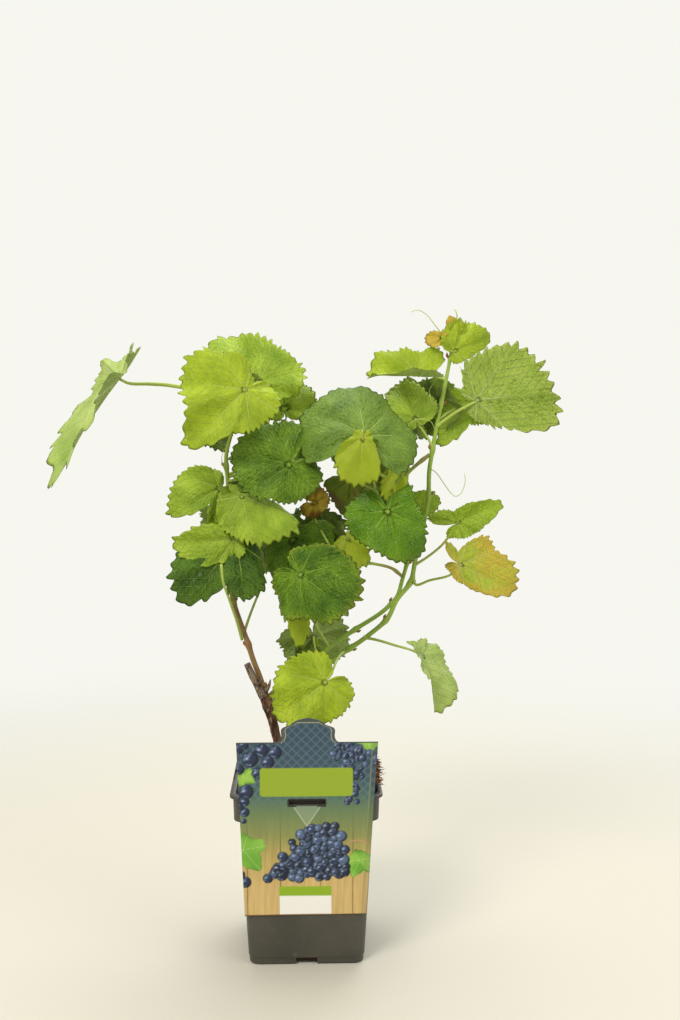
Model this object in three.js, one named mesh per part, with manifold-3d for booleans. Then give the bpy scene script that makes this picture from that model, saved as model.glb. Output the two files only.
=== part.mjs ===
// A young grapevine in a square nursery pot, with the printed card that hooks over the pot's rim.
// Millimetres, +Z up. The origin is the middle of the pot's flat underside, and the card faces -Y.
import * as THREE from 'three';
import { mergeVertices } from 'three/addons/utils/BufferGeometryUtils.js';
import Module from 'manifold-3d';

const wasm = await Module();
wasm.setup();

// ---- driving dimensions ----
const GAP = 0.35;             // clearance between touching pieces
const POT = {
  height: 175.5,
  rim: 75,                    // half width over the flange
  skirt: 71.8,                // half width of the band under the flange
  skirtFoot: 149,             // height of the skirt's lower edge
  neck: 66,                   // half width of the body just under the skirt
  base: 57.6,                 // half width at the foot
  footStep: 7,                // height of the moulded line above the foot
  wall: 2,
  flange: 3,
  corner: 11,
  floor: 2.6,
};
const DRAIN = { width: 21, deep: 15, height: 6.5 };
const HOOK_SLOT = { width: 38, thick: 1.8, at: 73.3 };
const CARD = {
  thick: 0.5, low: 52.5, high: 232, lowHalf: 59, highHalf: 68, lean: 0.119, front: -61.6,
  tabHalf: 26, tabHigh: 24, slotHalf: 18.5, slotLow: 166.5, slotHigh: 172, centre: 1,
};
const SOIL = { low: 160, heap: 21, bump: 2.2, seat: [-18, -4], seatRadius: 13,
  bank: { rise: 14, at: [65, -6], spread: [11, 36] } };
const TRUNK_FOOT = 161.5;     // the flat cut where the trunk meets the soil
const PAD = { spokes: 18, deepSpokes: 10, inner: 0.55, thick: 9, rim: 0.9 };

// ---- small helpers ----
const rad = (deg) => deg * Math.PI / 180;
const lerp = THREE.MathUtils.lerp;
const smooth = (x, a, b) => THREE.MathUtils.smoothstep(x, a, b);

/** One closed solid from rings of equal length, with a fan to the middle of the first and last ring. */
function ringGeometry(rings, first, last) {
  const n = rings[0].length;
  const middle = (ring) => ring.reduce((sum, p) => sum.add(p), new THREE.Vector3()).divideScalar(n);
  const points = [...rings.flat(), first ?? middle(rings[0]), last ?? middle(rings.at(-1))];
  const a = rings.length * n;
  const index = [];
  for (let i = 0; i < n; i++) {
    const j = (i + 1) % n;
    index.push(a, j, i);
    for (let k = 0; k + 1 < rings.length; k++) {
      const p = k * n;
      index.push(p + i, p + j, p + n + j, p + i, p + n + j, p + n + i);
    }
    const end = (rings.length - 1) * n;
    index.push(a + 1, end + i, end + j);
  }
  return indexed(points, index);
}

/** A position-only geometry, turned so that its faces point out. */
function indexed(points, index) {
  let volume = 0;
  for (let i = 0; i < index.length; i += 3) {
    const [p, q, r] = [points[index[i]], points[index[i + 1]], points[index[i + 2]]];
    volume += p.dot(new THREE.Vector3().crossVectors(q, r));
  }
  if (volume < 0) index.reverse();
  const geometry = new THREE.BufferGeometry().setFromPoints(points);
  return geometry.setIndex(index);
}

function solid(geometry) {
  const bare = geometry.clone();
  bare.deleteAttribute('normal');
  bare.deleteAttribute('uv');
  const merged = mergeVertices(bare, 1e-4);
  return new wasm.Manifold(new wasm.Mesh({
    numProp: 3,
    vertProperties: new Float32Array(merged.attributes.position.array),
    triVerts: new Uint32Array(merged.index.array),
  }));
}

function geometryOf(manifold) {
  const mesh = manifold.getMesh();
  const geometry = new THREE.BufferGeometry();
  geometry.setAttribute('position', new THREE.BufferAttribute(new Float32Array(mesh.vertProperties), 3));
  return geometry.setIndex(new THREE.BufferAttribute(new Uint32Array(mesh.triVerts), 1));
}

/** The largest single body of a solid. */
function largest(manifold) {
  return manifold.decompose().sort((a, b) => b.volume() - a.volume())[0];
}

const vine = new THREE.Group();
vine.name = 'potted_grapevine';

function add(name, geometry, color, roughness = 0.7) {
  const material = new THREE.MeshStandardMaterial({ color, roughness, metalness: 0 });
  const mesh = new THREE.Mesh(geometry, material);
  mesh.name = name;
  vine.add(mesh);
}

// ---- pot ----
/** A square ring with round corners at height z. */
function squareRing(half, corner, z, steps = 3, along = 0) {
  const ring = [];
  for (let side = 0; side < 4; side++) {
    const middle = side * Math.PI / 2 + Math.PI / 4;
    const reach = (half - corner) * Math.SQRT2;
    const [cx, cy] = [Math.cos(middle) * reach, Math.sin(middle) * reach];
    for (let i = 0; i <= steps; i++) {
      const angle = side * Math.PI / 2 + i / steps * Math.PI / 2;
      ring.push(new THREE.Vector3(cx + corner * Math.cos(angle), cy + corner * Math.sin(angle), z));
    }
    const [next, end] = [middle + Math.PI / 2, (side + 1) * Math.PI / 2];
    const from = ring[ring.length - 1];
    const to = new THREE.Vector3(Math.cos(next) * reach + corner * Math.cos(end),
      Math.sin(next) * reach + corner * Math.sin(end), z);
    for (let i = 1; i <= along; i++) ring.push(from.clone().lerp(to, i / (along + 1)));
  }
  return ring;
}

const bodyHalf = (z) => lerp(POT.base, POT.neck, (z - POT.footStep) / (POT.skirtFoot - POT.footStep));

function potSolid() {
  const { height, rim, skirt, skirtFoot, neck, base, footStep, wall, flange, corner, floor } = POT;
  const inside = rim - flange - wall - 0.5;
  const profile = [
    [base - 2, corner - 2, 0], [base - 0.9, corner - 1, 1.6], [base - 0.4, corner - 1, footStep - 0.6],
    [base, corner, footStep + 0.4], [neck, corner, skirtFoot], [skirt - 0.8, corner, skirtFoot],
    [skirt, corner, height - flange], [rim, corner, height - flange], [rim, corner, height - 0.6],
    [rim - 0.6, corner, height], [inside + 0.6, corner, height], [inside, corner, height - 1],
    [inside - 0.8, corner, skirtFoot + 1], [neck - wall, corner - wall, skirtFoot - 1.5],
    [base - wall, corner - wall, floor],
  ];
  const rings = profile.map(([half, round, z]) => squareRing(half, round, z));
  const ends = [new THREE.Vector3(0, 0, 0), new THREE.Vector3(0, 0, floor)];
  let pot = solid(ringGeometry(rings, ...ends));
  for (let side = 0; side < 4; side++) {
    const turn = new THREE.Matrix4().makeRotationZ(side * Math.PI / 2);
    const drain = new THREE.BoxGeometry(DRAIN.width, DRAIN.deep, DRAIN.height * 2);
    drain.translate(0, -base - 1 + DRAIN.deep / 2, 0).applyMatrix4(turn);
    const slot = new THREE.BoxGeometry(HOOK_SLOT.width, HOOK_SLOT.thick, flange * 3);
    slot.translate(0, -HOOK_SLOT.at, height).applyMatrix4(turn);
    pot = pot.subtract(solid(drain)).subtract(solid(slot));
  }
  return pot;
}
add('pot', geometryOf(potSolid()), 0x4b4844, 0.5);

// ---- soil ----
/** Height of the soil: heaped towards +X, lumpy, and level where the trunk stands. */
function soilHeight(x, y) {
  const heap = SOIL.heap * smooth(x + y * 0.15, -25, 62);
  const lumps = SOIL.bump * Math.sin(x * 0.13 + 1) * Math.cos(y * 0.16);
  const far = Math.hypot(x - SOIL.seat[0], y - SOIL.seat[1]);
  const { rise, at, spread } = SOIL.bank;
  const bank = rise * Math.exp(-(((x - at[0]) / spread[0]) ** 2) - ((y - at[1]) / spread[1]) ** 2);
  return SOIL.low + (heap + lumps) * smooth(far, SOIL.seatRadius, SOIL.seatRadius * 2.2) + bank;
}

function soilSolid() {
  const inside = POT.rim - POT.flange - POT.wall - 0.5;
  const low = POT.floor + GAP;
  const rings = [
    squareRing(POT.base - POT.wall - GAP - 0.2, POT.corner - POT.wall, low, 2, 3),
    squareRing(POT.neck - POT.wall - GAP - 0.25, POT.corner - POT.wall, POT.skirtFoot - 1.1, 2, 3),
    squareRing(inside - 0.8 - GAP - 0.15, POT.corner, POT.skirtFoot + 1.6, 2, 3),
  ];
  for (const part of [1, 0.82, 0.6, 0.36, 0.16]) {
    const top = squareRing((inside - 0.8 - GAP - 0.15) * part, POT.corner * part, 0, 2, 3);
    for (const p of top) p.z = soilHeight(p.x, p.y);
    rings.push(top);
  }
  return ringGeometry(rings, undefined, new THREE.Vector3(0, 0, soilHeight(0, 0)));
}
add('soil', soilSolid(), 0x3a2a1f, 0.95);

// ---- card hooked over the rim ----
function cardSolid() {
  const { low, high, lowHalf, highHalf, tabHalf, tabHigh, centre, slotHalf, slotLow, slotHigh } = CARD;
  const top = high - low;
  const face = new THREE.Shape();
  face.moveTo(-lowHalf - 1, 0);
  face.lineTo(lowHalf - 1, 1.2);
  face.lineTo(highHalf + centre, top);
  face.lineTo(centre + tabHalf, top);
  face.quadraticCurveTo(centre + tabHalf, top + tabHigh * 0.45, centre + tabHalf * 0.62, top + tabHigh * 0.78);
  face.quadraticCurveTo(centre + tabHalf * 0.3, top + tabHigh, centre, top + tabHigh);
  face.quadraticCurveTo(centre - tabHalf * 0.3, top + tabHigh, centre - tabHalf * 0.62, top + tabHigh * 0.78);
  face.quadraticCurveTo(centre - tabHalf, top + tabHigh * 0.45, centre - tabHalf, top);
  face.lineTo(-highHalf + centre, top);
  face.closePath();
  const slot = new THREE.Path();
  slot.moveTo(centre - slotHalf, slotLow - low);
  slot.lineTo(centre + slotHalf, slotLow - low);
  slot.lineTo(centre + slotHalf, slotHigh - low);
  slot.lineTo(centre - slotHalf, slotHigh - low);
  slot.closePath();
  face.holes.push(slot);
  const card = new THREE.ExtrudeGeometry(face, { depth: CARD.thick, bevelEnabled: false, curveSegments: 5 });
  card.rotateX(Math.PI / 2 + Math.atan(CARD.lean));
  card.translate(0, CARD.front, low);
  return card;
}
const card = solid(cardSolid());
add('label_card', geometryOf(card), 0x4d6070, 0.45);

// ---- woody stems and green shoots ----
/** A tapering round limb along a smooth path; radii are spread evenly from foot to tip. */
function limbGeometry({ path, radii, sides = 7, steps, flatFoot }, grow = 0) {
  const curve = new THREE.CatmullRomCurve3(path.map((p) => new THREE.Vector3(...p)), false, 'centripetal');
  const count = steps ?? path.length * 2;
  const rings = [];
  let side = new THREE.Vector3(1, 0, 0);
  for (let i = 0; i <= count; i++) {
    const t = i / count;
    const at = curve.getPointAt(t);
    const ahead = curve.getTangentAt(t);
    if (flatFoot && i === 0) ahead.set(0, 0, 1);
    side = side.clone().addScaledVector(ahead, -side.dot(ahead)).normalize();
    const other = new THREE.Vector3().crossVectors(ahead, side);
    const place = t * (radii.length - 1);
    const k = Math.min(Math.floor(place), radii.length - 2);
    const radius = lerp(radii[k], radii[k + 1], place - k) + grow;
    if (grow) at.addScaledVector(ahead, i === 0 ? -grow : i === count ? grow : 0);
    const ring = [];
    for (let j = 0; j < sides; j++) {
      const angle = j / sides * 2 * Math.PI;
      ring.push(at.clone().addScaledVector(side, radius * Math.cos(angle))
        .addScaledVector(other, radius * Math.sin(angle)));
    }
    rings.push(ring);
  }
  return ringGeometry(rings);
}

const BARK = 0x6b4a30;
const GREEN = 0x7f9a3a;
const LIMBS = {
  trunk: {
    path: [[-18, -4, TRUNK_FOOT], [-24, -3, 186], [-31, -2, 217], [-37, -2, 240], [-42, -2, 256]],
    radii: [7.2, 5.2, 4.9, 4.8, 5], flatFoot: true, color: BARK,
  },
  pruned_stub: { path: [[-43, -3, 259], [-53, -6, 277], [-60, -8, 293]], radii: [3.9, 3.6, 3.3], color: 0x7a6450 },
  left_shoot: {
    path: [[-42, 1, 259], [-47, 3, 275], [-61, 6, 315], [-75, 10, 356], [-80, 12, 391], [-76, 12, 430],
      [-80, 10, 480], [-81, 8, 506], [-76, 6, 526], [-66, 2, 558]],
    radii: [2.9, 2.7, 2.4, 2.3, 2.2, 2, 1.5], steps: 15, color: GREEN,
  },
  right_leader: {
    path: [[-37, 4, 248], [-6, 14, 267], [25, 20, 289], [65, 18, 317], [92, 12, 350], [111, 10, 385], [120, 10, 428],
      [127, 9, 475], [133, 5, 530], [143, 1, 585], [152, 0, 641]],
    radii: [3, 2.6, 2.4, 2.4, 2.3, 2.2, 2, 1.3], steps: 18, color: GREEN,
  },
  right_second_shoot: {
    path: [[-39, 13, 254], [-11, 22, 278], [17, 28, 297], [48, 29, 319], [83, 26, 343], [100, 25, 372], [108, 25, 402],
      [105, 24, 440], [88, 20, 474]],
    radii: [2.7, 2.4, 2.3, 2.2, 2, 1.6], steps: 15, color: GREEN,
  },
  second_shoot_heel: { path: [[-37, 2, 243], [-38, 7, 247.5], [-38.6, 11, 252.6]], radii: [2.9, 2.8, 2.7], color: BARK },
};
const STALKS = {
  stalk_far_left: [[-178, -38, 580], [-155, -12, 577], [-128, -2, 575], [-104, -8, 568]],
  stalk_low_front: [[22, -49, 287], [30, -24, 296], [36, 6, 298], [38, 17.5, 298]],
  stalk_right_hang: [[68, 14.5, 316], [92, 4, 309], [116, -8, 304]],
  stalk_yellow: [[111, 6, 372], [128, -2, 376], [148, -12, 384], [155, -13, 391]],
  stalk_far_right: [[136, 1, 540], [150, -2, 548], [168, -5, 558]],
};
const stalk = (path) => ({ path, radii: [1.4, 1.2, 1.3], sides: 6, steps: 5, color: 0xa3b04e });

const placed = [];            // solids so far, each grown by the clearance
function addLimb(name, limb) {
  let body = solid(limbGeometry(limb));
  for (const other of placed) body = body.subtract(other);
  add(name, geometryOf(largest(body)), limb.color);
  placed.push(solid(limbGeometry(limb, GAP)));
}
for (const [name, limb] of Object.entries(LIMBS)) addLimb(name, limb);
for (const [name, path] of Object.entries(STALKS)) addLimb(name, stalk(path));

// ---- masses of leaves ----
// A leaf is [x, y, z of the leaf's junction with its stalk, heading, nod, turn, length, reach, fold].
// Heading turns the tip in the XZ plane (0 down, 90 to +X), nod lifts it towards -Y, and turn rolls the
// blade about its midrib. Reach is how far seven lobes go, from one basal lobe round the tip to the
// other, in tenths of the length.
const LOBE_AT = [-180, -150, -100, -50, 0, 50, 100, 150, 180].map(rad);
const REAR_DEPTH = 30;        // how far a rear mass reaches forward, with the side-facing leaves in it
const MASSES = {
  far_left: [[-181, -40, 581, -39, 15, -78, 136, [3, 4, 7, 10, 7.5, 5, 4], 0.2]],
  upper_left: [
    [-58, -55, 570, -43, 25, 5, 82, [4, 7, 8, 10, 6, 5, 5], 0.05],
    [-48, 0, 577, -155, -25, 0, 58, [8, 10, 8, 10, 12, 8, 6], 0.05],
    [-20, 15, 554, -175, -25, 0, 24, [8, 8, 14, 10, 9, 10, 9], 0.1],
  ],
  back_upper_left: [[-72, 38, 572, -25, -30, 180, 58, [6, 8, 9, 10, 9, 8, 6], 0.1, REAR_DEPTH]],
  dark_left: [[-16, -40, 497, -55, 18, 0, 62, [8, 8, 10, 10, 7, 7, 6], 0.03]],
  back_dark_left: [[-36, 46, 505, 12, -35, 180, 56, [6, 8, 9, 10, 9, 8, 6], 0.1, REAR_DEPTH]],
  centre: [
    [58, -50, 526, -170, -38, 0, 62, [8, 8, 6, 10, 13.5, 11, 8], 0],
    [57, -15, 524, -5, 20, 0, 50, [3, 4, 6, 10, 4.5, 4, 3.5], 0.05],
  ],
  back_upper_centre: [[52, 42, 532, -12, -35, 180, 56, [6, 8, 9, 10, 9, 8, 6], 0.1, REAR_DEPTH]],
  olive: [[45, 6, 480, -8, 15, 0, 42, [5, 6, 7, 10, 5, 5, 4], 0.1]],
  left: [
    [-84, -20, 475, -60, 20, 0, 62, [3, 4, 7.5, 10, 9, 5, 3], 0],
    [-62, -40, 459, 62, 25, 0, 74, [3, 4, 6, 10, 5, 4, 3], -0.1],
  ],
  low_left: [[-69, -30, 421, -41, 28, 0, 88, [2.5, 4.2, 8, 10, 7, 6, 4], -0.15]],
  back_low_left: [[-72, 44, 432, -15, -35, 180, 54, [6, 8, 9, 10, 9, 8, 6], 0.1, REAR_DEPTH]],
  dark_middle: [[-14, 5, 419, 40, 15, 0, 46, [6, 9, 9, 10, 10, 7, 5], 0.1]],
  low_centre: [
    [-6, -50, 390, 55, 22, 0, 66, [6, 7, 7.5, 10, 9, 6, 5], 0],
    [-6, -22, 366, 0, 15, 0, 54, [2, 2.5, 3.5, 10, 3, 2.5, 2], 0.2],
  ],
  back_centre: [[2, 52, 425, 8, -32, 180, 56, [6, 8, 9, 10, 9, 8, 6], 0.1, REAR_DEPTH]],
  right_centre: [
    [80, -50, 452, 14, 22, 0, 57, [6, 8, 8, 10, 9.5, 7, 6], 0.05],
    [97, 4, 486, -12, 10, 0, 38, [2.5, 3, 4, 10, 4, 3, 2.5], 0.2],
  ],
  behind_right: [[112, 34, 453, 100, 0, 0, 32, [4, 5, 7, 10, 7, 5, 4], 0.1]],
  back_right: [[70, 56, 478, 16, -35, 180, 54, [6, 8, 9, 10, 9, 8, 6], 0.1, REAR_DEPTH]],
  yellow_behind: [[43, 4, 421, 40, 10, 0, 31, [4, 6, 7, 10, 6, 5, 4], 0.05]],
  bow_right: [[154, -10, 437, 110, 25, 0, 54, [4, 3, 4.5, 10, 5, 3, 6], 0.2]],
  yellow_right: [[156, -16, 395, 62, 12, 0, 68, [2, 2.5, 4, 10, 7, 6, 5.5], 0.05]],
  right_hang: [[119, -10, 302, 30, 15, 60, 64, [5, 4, 5, 10, 7, 5, 5], 0.2]],
  low_front: [[19, -55, 284, -55, 18, 0, 66, [5, 6, 8, 10, 8, 6, 5], 0]],
  back_low: [[8, 44, 312, 12, -30, 180, 50, [6, 8, 9, 10, 9, 8, 6], 0.1, REAR_DEPTH]],
  top_left: [[113, -10, 586, -105, -25, 0, 60, [5, 5, 6, 10, 4, 3, 2.5], 0.1]],
  top_right: [
    [151, -5, 610, 112, -20, 0, 50, [4, 4, 4, 10, 7, 5, 4], 0.2],
    [138, -8, 624, -95, 0, 0, 19, [4, 4, 5, 10, 7, 6, 5], 0.2],
  ],
  far_right: [[173, -5, 561, 99, 10, 180, 96, [2.5, 3.5, 6, 10, 6.5, 2.5, 2], 0.1]],
  right_behind: [[173, 14, 560, -38, 8, 0, 62, [4, 5, 6, 10, 6, 5, 5], 0.1]],
  mid_right: [[112, -2, 541, -155, -18, 0, 46, [5, 6, 8, 10, 9, 6, 5], 0.15]],
  back_top: [[122, 38, 566, 4, -30, 180, 50, [6, 8, 9, 10, 9, 8, 6], 0.1, REAR_DEPTH]],
  autumn: [[9, -16, 458, 80, 5, 0, 18, [9, 9, 8, 10, 10, 10, 9], 0.1]],
};
const LEAF_COLOUR = { yellow_right: 0xc9b838, autumn: 0xb8822a, yellow_behind: 0x9fae34, olive: 0x4a5522 };
const BEND = { along: 20, across: 14 };    // degrees that a blade bends down over its length

/** Radius of the blade's outline, in lengths, at an angle from the tip. */
function outline(angle, reach) {
  const gap = 0.35 * Math.min(reach[0], reach[6]);
  const all = [gap, ...reach, gap];
  const k = Math.max(LOBE_AT.findLastIndex((a) => a <= angle + 1e-9), 0);
  const j = Math.min(k, LOBE_AT.length - 2);
  const part = (angle - LOBE_AT[j]) / (LOBE_AT[j + 1] - LOBE_AT[j]);
  return lerp(all[j], all[j + 1], part) / 10 * (1 - 0.1 * Math.sin(Math.PI * part));
}

function bend(x, w, length, degrees) {
  const radius = length / rad(degrees);
  return [(radius + w) * Math.sin(x / radius), (radius + w) * Math.cos(x / radius) - radius];
}

/** A thick, lens-shaped stand-in for one blade, or for the leaves that crowd behind it when it is deep. */
function padGeometry([x, y, z, heading, nod, turn, length, reach, fold, deep = 0], grow = 0) {
  const tip = new THREE.Vector3(Math.sin(rad(heading)), 0, -Math.cos(rad(heading)));
  const face = new THREE.Vector3(0, -1, 0);
  const side = new THREE.Vector3().crossVectors(face, tip);
  const t = tip.clone().multiplyScalar(Math.cos(rad(nod))).addScaledVector(face, Math.sin(rad(nod)));
  const n = face.clone().multiplyScalar(Math.cos(rad(nod))).addScaledVector(tip, -Math.sin(rad(nod)));
  const s = side.clone().multiplyScalar(Math.cos(rad(turn))).addScaledVector(n, -Math.sin(rad(turn)));
  n.multiplyScalar(Math.cos(rad(turn))).addScaledVector(side, Math.sin(rad(turn)));
  const thick = PAD.thick * Math.min(1, length / 50) / 2 + grow;
  const place = (u, v, lift) => {
    let w = fold * (Math.hypot(v, 3) - 3) + lift;
    [u, w] = bend(u, w, length, BEND.along);
    [v, w] = bend(v, w, length, BEND.across);
    return new THREE.Vector3(x, y, z).addScaledVector(t, u).addScaledVector(s, v).addScaledVector(n, w);
  };
  const spokes = deep ? PAD.deepSpokes : PAD.spokes;
  const loop = (part, lift) => Array.from({ length: spokes }, (_, i) => {
    const angle = -Math.PI + (i + 0.5) / spokes * 2 * Math.PI;
    const radius = (outline(angle, reach) * length + grow) * part;
    return place(radius * Math.cos(angle), radius * Math.sin(angle), lift);
  });
  const half = PAD.rim / 2 + grow;
  const rings = [loop(PAD.inner, thick), loop(1, half), loop(1, -half - 0.6 * deep), loop(PAD.inner, -thick - deep)];
  const middle = 0.12 * length;
  return ringGeometry(rings, place(middle, 0, thick), place(middle, 0, -thick - deep));
}

/** A rounded knot of small leaves that ties the big blades of one mass to its shoot. */
function heartGeometry(leaves, grow = 0) {
  const middle = new THREE.Vector3();
  const spread = new THREE.Vector3(9, 9, 9);
  for (const leaf of leaves) middle.add(new THREE.Vector3(leaf[0], leaf[1], leaf[2]).divideScalar(leaves.length));
  for (const leaf of leaves) {
    spread.x = Math.max(spread.x, Math.abs(leaf[0] - middle.x) + 5);
    spread.y = Math.max(spread.y, Math.abs(leaf[1] - middle.y) + 5);
    spread.z = Math.max(spread.z, Math.abs(leaf[2] - middle.z) + 5);
  }
  const heart = new THREE.SphereGeometry(1, 6, 4);
  heart.scale(spread.x + grow, spread.y + grow, spread.z + grow);
  return heart.translate(middle.x, middle.y, middle.z);
}

function massSolid(leaves, grow = 0) {
  let mass = leaves.length > 1 ? solid(heartGeometry(leaves, grow)) : null;
  for (const leaf of leaves) {
    const pad = solid(padGeometry(leaf, grow));
    mass = mass ? mass.add(pad) : pad;
  }
  return mass;
}

placed.push(card);
for (const [name, leaves] of Object.entries(MASSES)) {
  let mass = massSolid(leaves);
  for (const other of placed) mass = mass.subtract(other);
  add(`foliage_${name}`, geometryOf(largest(mass)), LEAF_COLOUR[name] ?? 0x6f9a35, 0.6);
  placed.push(massSolid(leaves, GAP));
}

export default vine;
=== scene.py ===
import math

import bpy
import numpy as np
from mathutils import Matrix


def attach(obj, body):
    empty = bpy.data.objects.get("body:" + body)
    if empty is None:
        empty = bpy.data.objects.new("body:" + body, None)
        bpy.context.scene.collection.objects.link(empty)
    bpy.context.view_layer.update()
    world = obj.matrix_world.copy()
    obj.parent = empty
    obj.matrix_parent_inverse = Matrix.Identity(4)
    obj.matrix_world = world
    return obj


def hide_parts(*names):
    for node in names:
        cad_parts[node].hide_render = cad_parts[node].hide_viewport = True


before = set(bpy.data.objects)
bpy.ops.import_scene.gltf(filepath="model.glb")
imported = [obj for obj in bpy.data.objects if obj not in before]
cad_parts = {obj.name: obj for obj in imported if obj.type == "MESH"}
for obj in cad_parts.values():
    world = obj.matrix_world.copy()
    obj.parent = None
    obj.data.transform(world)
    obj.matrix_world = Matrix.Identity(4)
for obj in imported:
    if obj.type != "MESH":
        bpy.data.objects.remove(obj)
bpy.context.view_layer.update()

# A young grapevine in a square nursery pot. Lengths are millimetres until a mesh is written, then metres.
# The card on the pot faces -Y, +Z is up and the pot stands on the origin.
MM = 0.001
LATTICE = np.random.default_rng(11).normal(size=(48, 3))
PHASES = np.random.default_rng(12).uniform(0, 2 * np.pi, 48)


# ---------------------------------------------------------------- shapes

def ripple(points, size, seed=0, count=14):
    """A soft random field between about -1 and 1: the mean of plane waves of one length in random directions."""
    pick = (np.arange(count) + 5 * seed) % len(LATTICE)
    ways = LATTICE[pick] / np.linalg.norm(LATTICE[pick], axis=1, keepdims=True)
    waves = np.sin(points @ ways.T * (2 * np.pi / size) + PHASES[pick] + seed)
    return waves.sum(axis=-1) / math.sqrt(count) * 0.9


def smooth_path(points, count):
    """Points spread evenly along a smooth curve: cubic pieces whose slopes are taken across the neighbours."""
    p = np.asarray(points, float)
    t = np.concatenate([[0], np.cumsum(np.linalg.norm(np.diff(p, axis=0), axis=1) ** 0.75)])
    slope = np.gradient(p, t, axis=0) if len(p) > 2 else np.repeat((p[1:] - p[:1]) / t[-1], 2, axis=0)

    def at(x):
        k = np.clip(np.searchsorted(t, x, side="right") - 1, 0, len(t) - 2)
        h = (t[k + 1] - t[k])[:, None]
        s = ((x - t[k])[:, None]) / h
        return ((2 * s**3 - 3 * s**2 + 1) * p[k] + (s**3 - 2 * s**2 + s) * h * slope[k]
                + (3 * s**2 - 2 * s**3) * p[k + 1] + (s**3 - s**2) * h * slope[k + 1])

    fine = at(np.linspace(0, t[-1], 400))
    run = np.concatenate([[0], np.cumsum(np.linalg.norm(np.diff(fine, axis=0), axis=1))])
    even = np.linspace(0, run[-1], count)
    return np.stack([np.interp(even, run, fine[:, i]) for i in range(3)], axis=1)


def frames(path):
    """Tangents and two side directions at each path point, carried along without twist."""
    ahead = np.gradient(path, axis=0)
    ahead /= np.linalg.norm(ahead, axis=1, keepdims=True)
    side = np.zeros_like(ahead)
    now = np.cross(ahead[0], [0.0, 1.0, 0.0])
    if np.linalg.norm(now) < 0.2:
        now = np.cross(ahead[0], [1.0, 0.0, 0.0])
    for i, a in enumerate(ahead):
        now = now - a * (now @ a)
        now = now / np.linalg.norm(now)
        side[i] = now
    return ahead, side, np.cross(ahead, side)


def grid_quads(rows, columns, closed=True, start=0):
    """Four corners for every cell of a grid of points; a closed grid joins its last column to its first."""
    r, c = np.meshgrid(np.arange(rows - 1), np.arange(columns if closed else columns - 1), indexing="ij")
    d = (c + 1) % columns
    quads = np.stack([r * columns + c, r * columns + d, (r + 1) * columns + d, (r + 1) * columns + c], -1)
    return quads.reshape(-1, 4) + start


def fan(ring, middle, flip=False):
    """Triangles from one middle point to every side of a ring."""
    tris = np.stack([np.full(len(ring), middle), ring, np.roll(ring, -1)], -1)
    return tris[:, ::-1] if flip else tris


def lathe(rings, middles=None):
    """A closed form through rings of equal length, with a fan over the first and last ring."""
    rings = np.asarray(rings, float)
    rows, n = rings.shape[:2]
    ends = middles if middles is not None else (rings[0].mean(0), rings[-1].mean(0))
    verts = np.concatenate([rings.reshape(-1, 3), np.asarray(ends, float)])
    ring = np.arange(n)
    faces = [grid_quads(rows, n), fan(ring, rows * n, flip=True), fan(ring + (rows - 1) * n, rows * n + 1)]
    return {"v": verts, "f": faces}


def outward(part):
    """Turns every face over if the form's signed volume is negative."""
    volume = 0.0
    for faces in part["f"]:
        p = part["v"][faces]
        for k in range(1, faces.shape[1] - 1):
            volume += np.einsum("ij,ij->i", p[:, 0], np.cross(p[:, k], p[:, k + 1])).sum()
    if volume < 0:
        part["f"] = [f[:, ::-1] for f in part["f"]]
        part["uv"] = {k: [u[:, ::-1] for u in us] for k, us in part.get("uv", {}).items()}
    return part


def tube(points, radii, sides=10, count=24, swell=None):
    """A round limb along a smooth path: radius read evenly from a list, times a factor of place and angle."""
    path = smooth_path(points, count)
    _, side, other = frames(path)
    along = np.linspace(0, 1, count)
    radius = np.interp(along, np.linspace(0, 1, len(radii)), radii)[:, None] * np.ones((1, sides))
    turn = np.arange(sides) / sides * 2 * np.pi
    run = np.concatenate([[0], np.cumsum(np.linalg.norm(np.diff(path, axis=0), axis=1))])
    if swell is not None:
        radius = radius * swell(run[:, None], turn[None, :])
    ring = (np.cos(turn)[None, :, None] * side[:, None] + np.sin(turn)[None, :, None] * other[:, None])
    part = lathe(path[:, None] + radius[..., None] * ring, (path[0], path[-1]))
    cell_v = np.repeat(run[:-1], sides), np.repeat(run[1:], sides)
    u0 = np.tile(np.arange(sides) / sides, count - 1)
    u1 = u0 + 1 / sides
    quad_uv = np.stack([np.stack([u0, cell_v[0] / 100], -1), np.stack([u1, cell_v[0] / 100], -1),
                        np.stack([u1, cell_v[1] / 100], -1), np.stack([u0, cell_v[1] / 100], -1)], 1)
    cap0 = np.zeros((sides, 3, 2))
    cap1 = np.zeros((sides, 3, 2)) + [0, run[-1] / 100]
    part["uv"] = {"along": [quad_uv, cap0, cap1]}
    return outward(part)


def join(parts):
    """One part from many, with each part's faces renumbered."""
    verts, faces, marks, uvs, start = [], [], [], {}, 0
    for part in parts:
        verts.append(part["v"])
        names = part.get("uv", {})
        for i, f in enumerate(part["f"]):
            faces.append(f + start)
            mark = part.get("m", 0)
            marks.append(np.broadcast_to(mark[i] if isinstance(mark, list) else mark, len(f)))
            for name in names:
                uvs.setdefault(name, []).append(names[name][i])
        start += len(part["v"])
    return {"v": np.concatenate(verts), "f": faces, "m": marks, "uv": uvs}


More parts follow.
